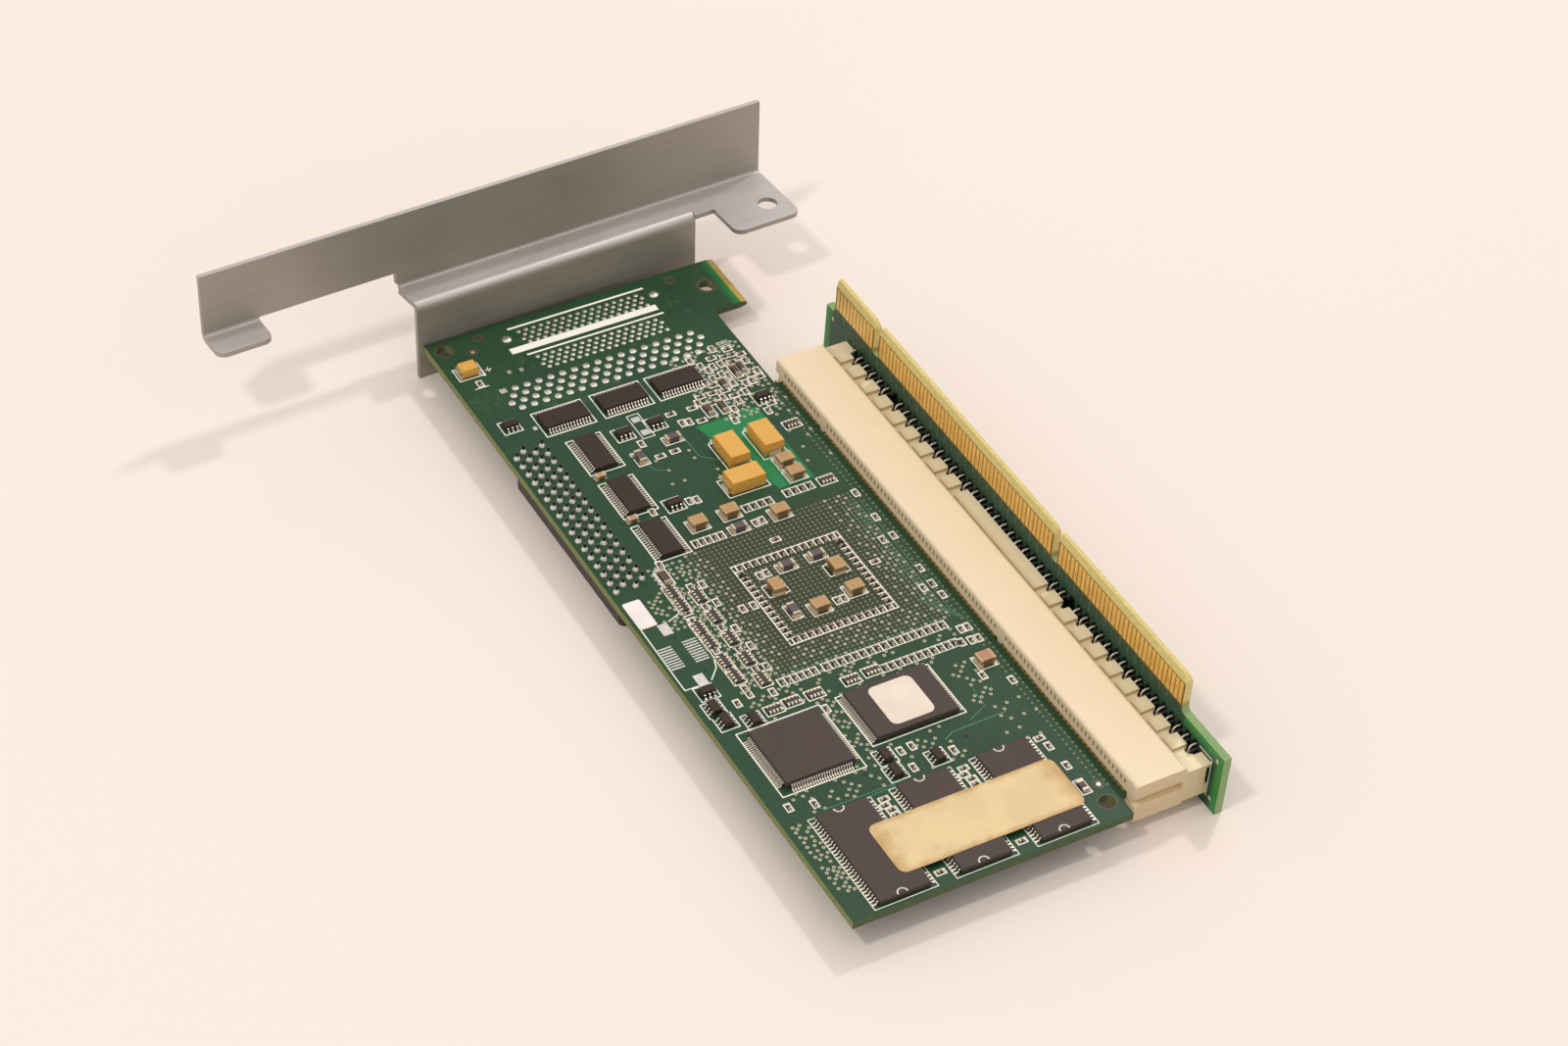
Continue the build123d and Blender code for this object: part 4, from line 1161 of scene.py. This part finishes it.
def make_tail_bends():
    """Bent ends of the socket's upper tails, which reach the riser's face."""
    run = 1.59
    bend = Piece("tail_bend", None)
    bend.prism([
        (0, 1.4), (0, 2.3), (0.12, 2.65), (0.4, 2.95), (0.8, 3.08), (run, 3.08), (run, 2.86),
        (0.9, 2.86), (0.58, 2.76), (0.36, 2.57), (0.24, 2.25), (0.24, 1.4)], 0.28)
    pattern = bend.pattern()
    face = node_box("riser_board")[0].y
    bends = Piece("tail_bends", "tinned_metal", LEAD)
    for low, high in islands("slot_contacts"):
        if low.z > 0:
            bends.stamp(pattern, on_card((low.x + high.x) / 2, face - run, 90))
    bends.finish()


def make_riser_trim():
    """A printed corner, plated holes and traces on the riser's front."""
    face = node_box("riser_board")[0].y

    def mark(piece, x_low, x_high, z_low, z_high):
        piece.block((x_low, face + SINK, z_low), (x_high, face + 0.01, z_high))

    printed = Piece("riser_print", "white_paper", SILK)
    mark(printed, 164.8, 165.0, -5.7, 3.4)
    mark(printed, 161.0, 165.0, 3.2, 3.4)
    printed.finish()
    spots = Piece("riser_vias", "contact_gold", VIA_RING)
    for x, z in ((166.3, 4.15), (166.1, -5.3), (31.5, 4.1), (31.3, -5.2)):
        mark(spots, x - 0.4, x + 0.4, z - 0.4, z + 0.4)
    spots.finish()
    traces = Piece("riser_traces", "board_green", TRACE)
    for k in range(0, 94, 2):
        x = 33 + CONTACT_PITCH * k
        mark(traces, x, x + 0.16, 4.4 + random.uniform(0, 1.4), 7.1)
    traces.finish()


def make_part_label():
    """The long label, lying over three chips and sagging a little between them."""
    low, high = node_box("part_label")
    chips = islands("memory_chips")
    middle, size = (low + high) / 2, high - low
    corner, thickness = 1.6, 0.08
    # How far the sheet lies above the label's own box, how deep it sags and how soon beside a chip
    lift, sag, slope = 0.11, 0.09, 1.5
    paint = paper_paint("long_label", low, high, (0.74, 0.56, 0.3), (0.5, 0.3, 0.1), 0.2)
    label = Piece("long_label", "yellowed_paper", paint)
    place = Matrix.Translation(middle) @ Matrix.Diagonal((size.x / 2, size.y / 2, 1, 1))
    bmesh.ops.create_grid(label.shape, x_segments=12, y_segments=48, size=1, matrix=place)
    for vert in label.shape.verts:
        point = vert.co
        away = Vector((abs(point.x - middle.x) - size.x / 2, abs(point.y - middle.y) - size.y / 2))
        away += Vector((corner, corner))
        if away.x > 0 and away.y > 0 and away.length > corner:
            pull = away - away * (corner / away.length)
            point.x -= math.copysign(pull.x, point.x - middle.x)
            point.y -= math.copysign(pull.y, point.y - middle.y)
        gap = min(max(chip_low.y - point.y, point.y - chip_high.y, 0) for chip_low, chip_high in chips)
        point.z = low.z + lift - sag * min(1, gap / slope)
    made = bmesh.ops.extrude_face_region(label.shape, geom=label.shape.faces[:])
    for item in made["geom"]:
        if isinstance(item, bmesh.types.BMVert):
            item.co.z -= thickness
    bmesh.ops.recalc_face_normals(label.shape, faces=label.shape.faces)
    label.finish("part_label", smooth=50)


def make_flat_label(name, node, colour, corner):
    """A bare white label with rounded corners."""
    low, high = node_box(node)
    label = Piece(name, "white_paper", paper_paint(name, low, high, colour, (0.72, 0.58, 0.42), 0.04))
    verts = label.block(low, high)
    upright = {
        edge for vert in verts for edge in vert.link_edges
        if abs(edge.verts[0].co.z - edge.verts[1].co.z) > 0.01}
    bmesh.ops.bevel(
        label.shape, geom=list(upright), offset=corner, offset_type="OFFSET", affect="EDGES", segments=5,
        profile=0.5, material=-1)
    label.finish(node)


def make_stage():
    """A pale floor, which stands for the table."""
    floor = Piece("floor", None, Paint("floor", (0.9, 0.8, 0.74), 0.7))
    place = Matrix.Translation((80, 30, TABLE))
    bmesh.ops.create_grid(floor.shape, x_segments=1, y_segments=1, size=4000, matrix=place)
    floor.build()


def make_light():
    """A white sky seen by the camera, and two soft lamps on both sides of the card."""
    world = bpy.data.worlds.new("sky")
    bpy.context.scene.world = world
    world.use_nodes = True
    sky = world.node_tree.nodes["Background"]
    sky.inputs["Color"].default_value = (1.0, 0.97, 0.94, 1)
    sky.inputs["Strength"].default_value = 0.74
    target = Vector((85, 35, 0))
    for name, place in (("near_lamp", Vector((234, -555, 1019))), ("far_lamp", Vector((-276, 605, 985)))):
        lamp = bpy.data.lights.new(name, "AREA")
        lamp.shape = "DISK"
        lamp.size = 110 * MM
        lamp.energy = 3.0
        lamp.color = (1.0, 0.95, 0.89)
        holder = bpy.data.objects.new(name, lamp)
        holder.location = TO_FRAME @ place
        holder.rotation_euler = (target - place).to_track_quat("-Z", "Y").to_euler()
        bpy.context.scene.collection.objects.link(holder)


def make_camera():
    """The photograph's camera."""
    data = bpy.data.cameras.new("camera")
    data.sensor_width = 36
    data.lens = LENS
    data.clip_start = 0.01
    camera = bpy.data.objects.new("camera", data)
    turn = Matrix((CAMERA_RIGHT, CAMERA_RIGHT.cross(CAMERA_LOOK), -CAMERA_LOOK)).transposed()
    camera.matrix_world = Matrix.Translation(TO_FRAME @ CAMERA_PLACE) @ turn.to_4x4()
    bpy.context.scene.collection.objects.link(camera)
    bpy.context.scene.camera = camera


def main():
    bpy.context.scene.view_settings.view_transform = "Standard"
    paint_nodes()
    for leads, chips, width in (
            ("transceiver_leads", "transceiver_chips", PRINT_WIDTH),
            ("memory_leads", "memory_chips", FINE_PRINT_WIDTH),
            ("flash_leads", "flash_chip", PRINT_WIDTH),
            ("bus_controller_leads", "bus_controller", PRINT_WIDTH)):
        make_wires(leads.replace("leads", "bent_leads"), leads, chips)
        chip_print(chips, leads, width)
    make_small_parts()
    make_chip_capacitors()
    make_packs()
    make_regulator_leads()
    make_block_prints()
    make_polarity_marks()
    make_notch_highlights()
    make_pin_tips()
    make_footprint_solder()
    make_footprint_print()
    make_rings()
    make_vias()
    make_underside()
    make_traces()
    make_socket_trim()
    make_tail_bends()
    make_riser_trim()
    make_part_label()
    make_flat_label("firmware_label", "flash_label", (0.8, 0.69, 0.6), 1.4)
    make_flat_label("free_side_label", "side_label", (0.85, 0.79, 0.76), 0.4)
    drop_patterns()
    make_stage()
    make_light()
    make_camera()


main()
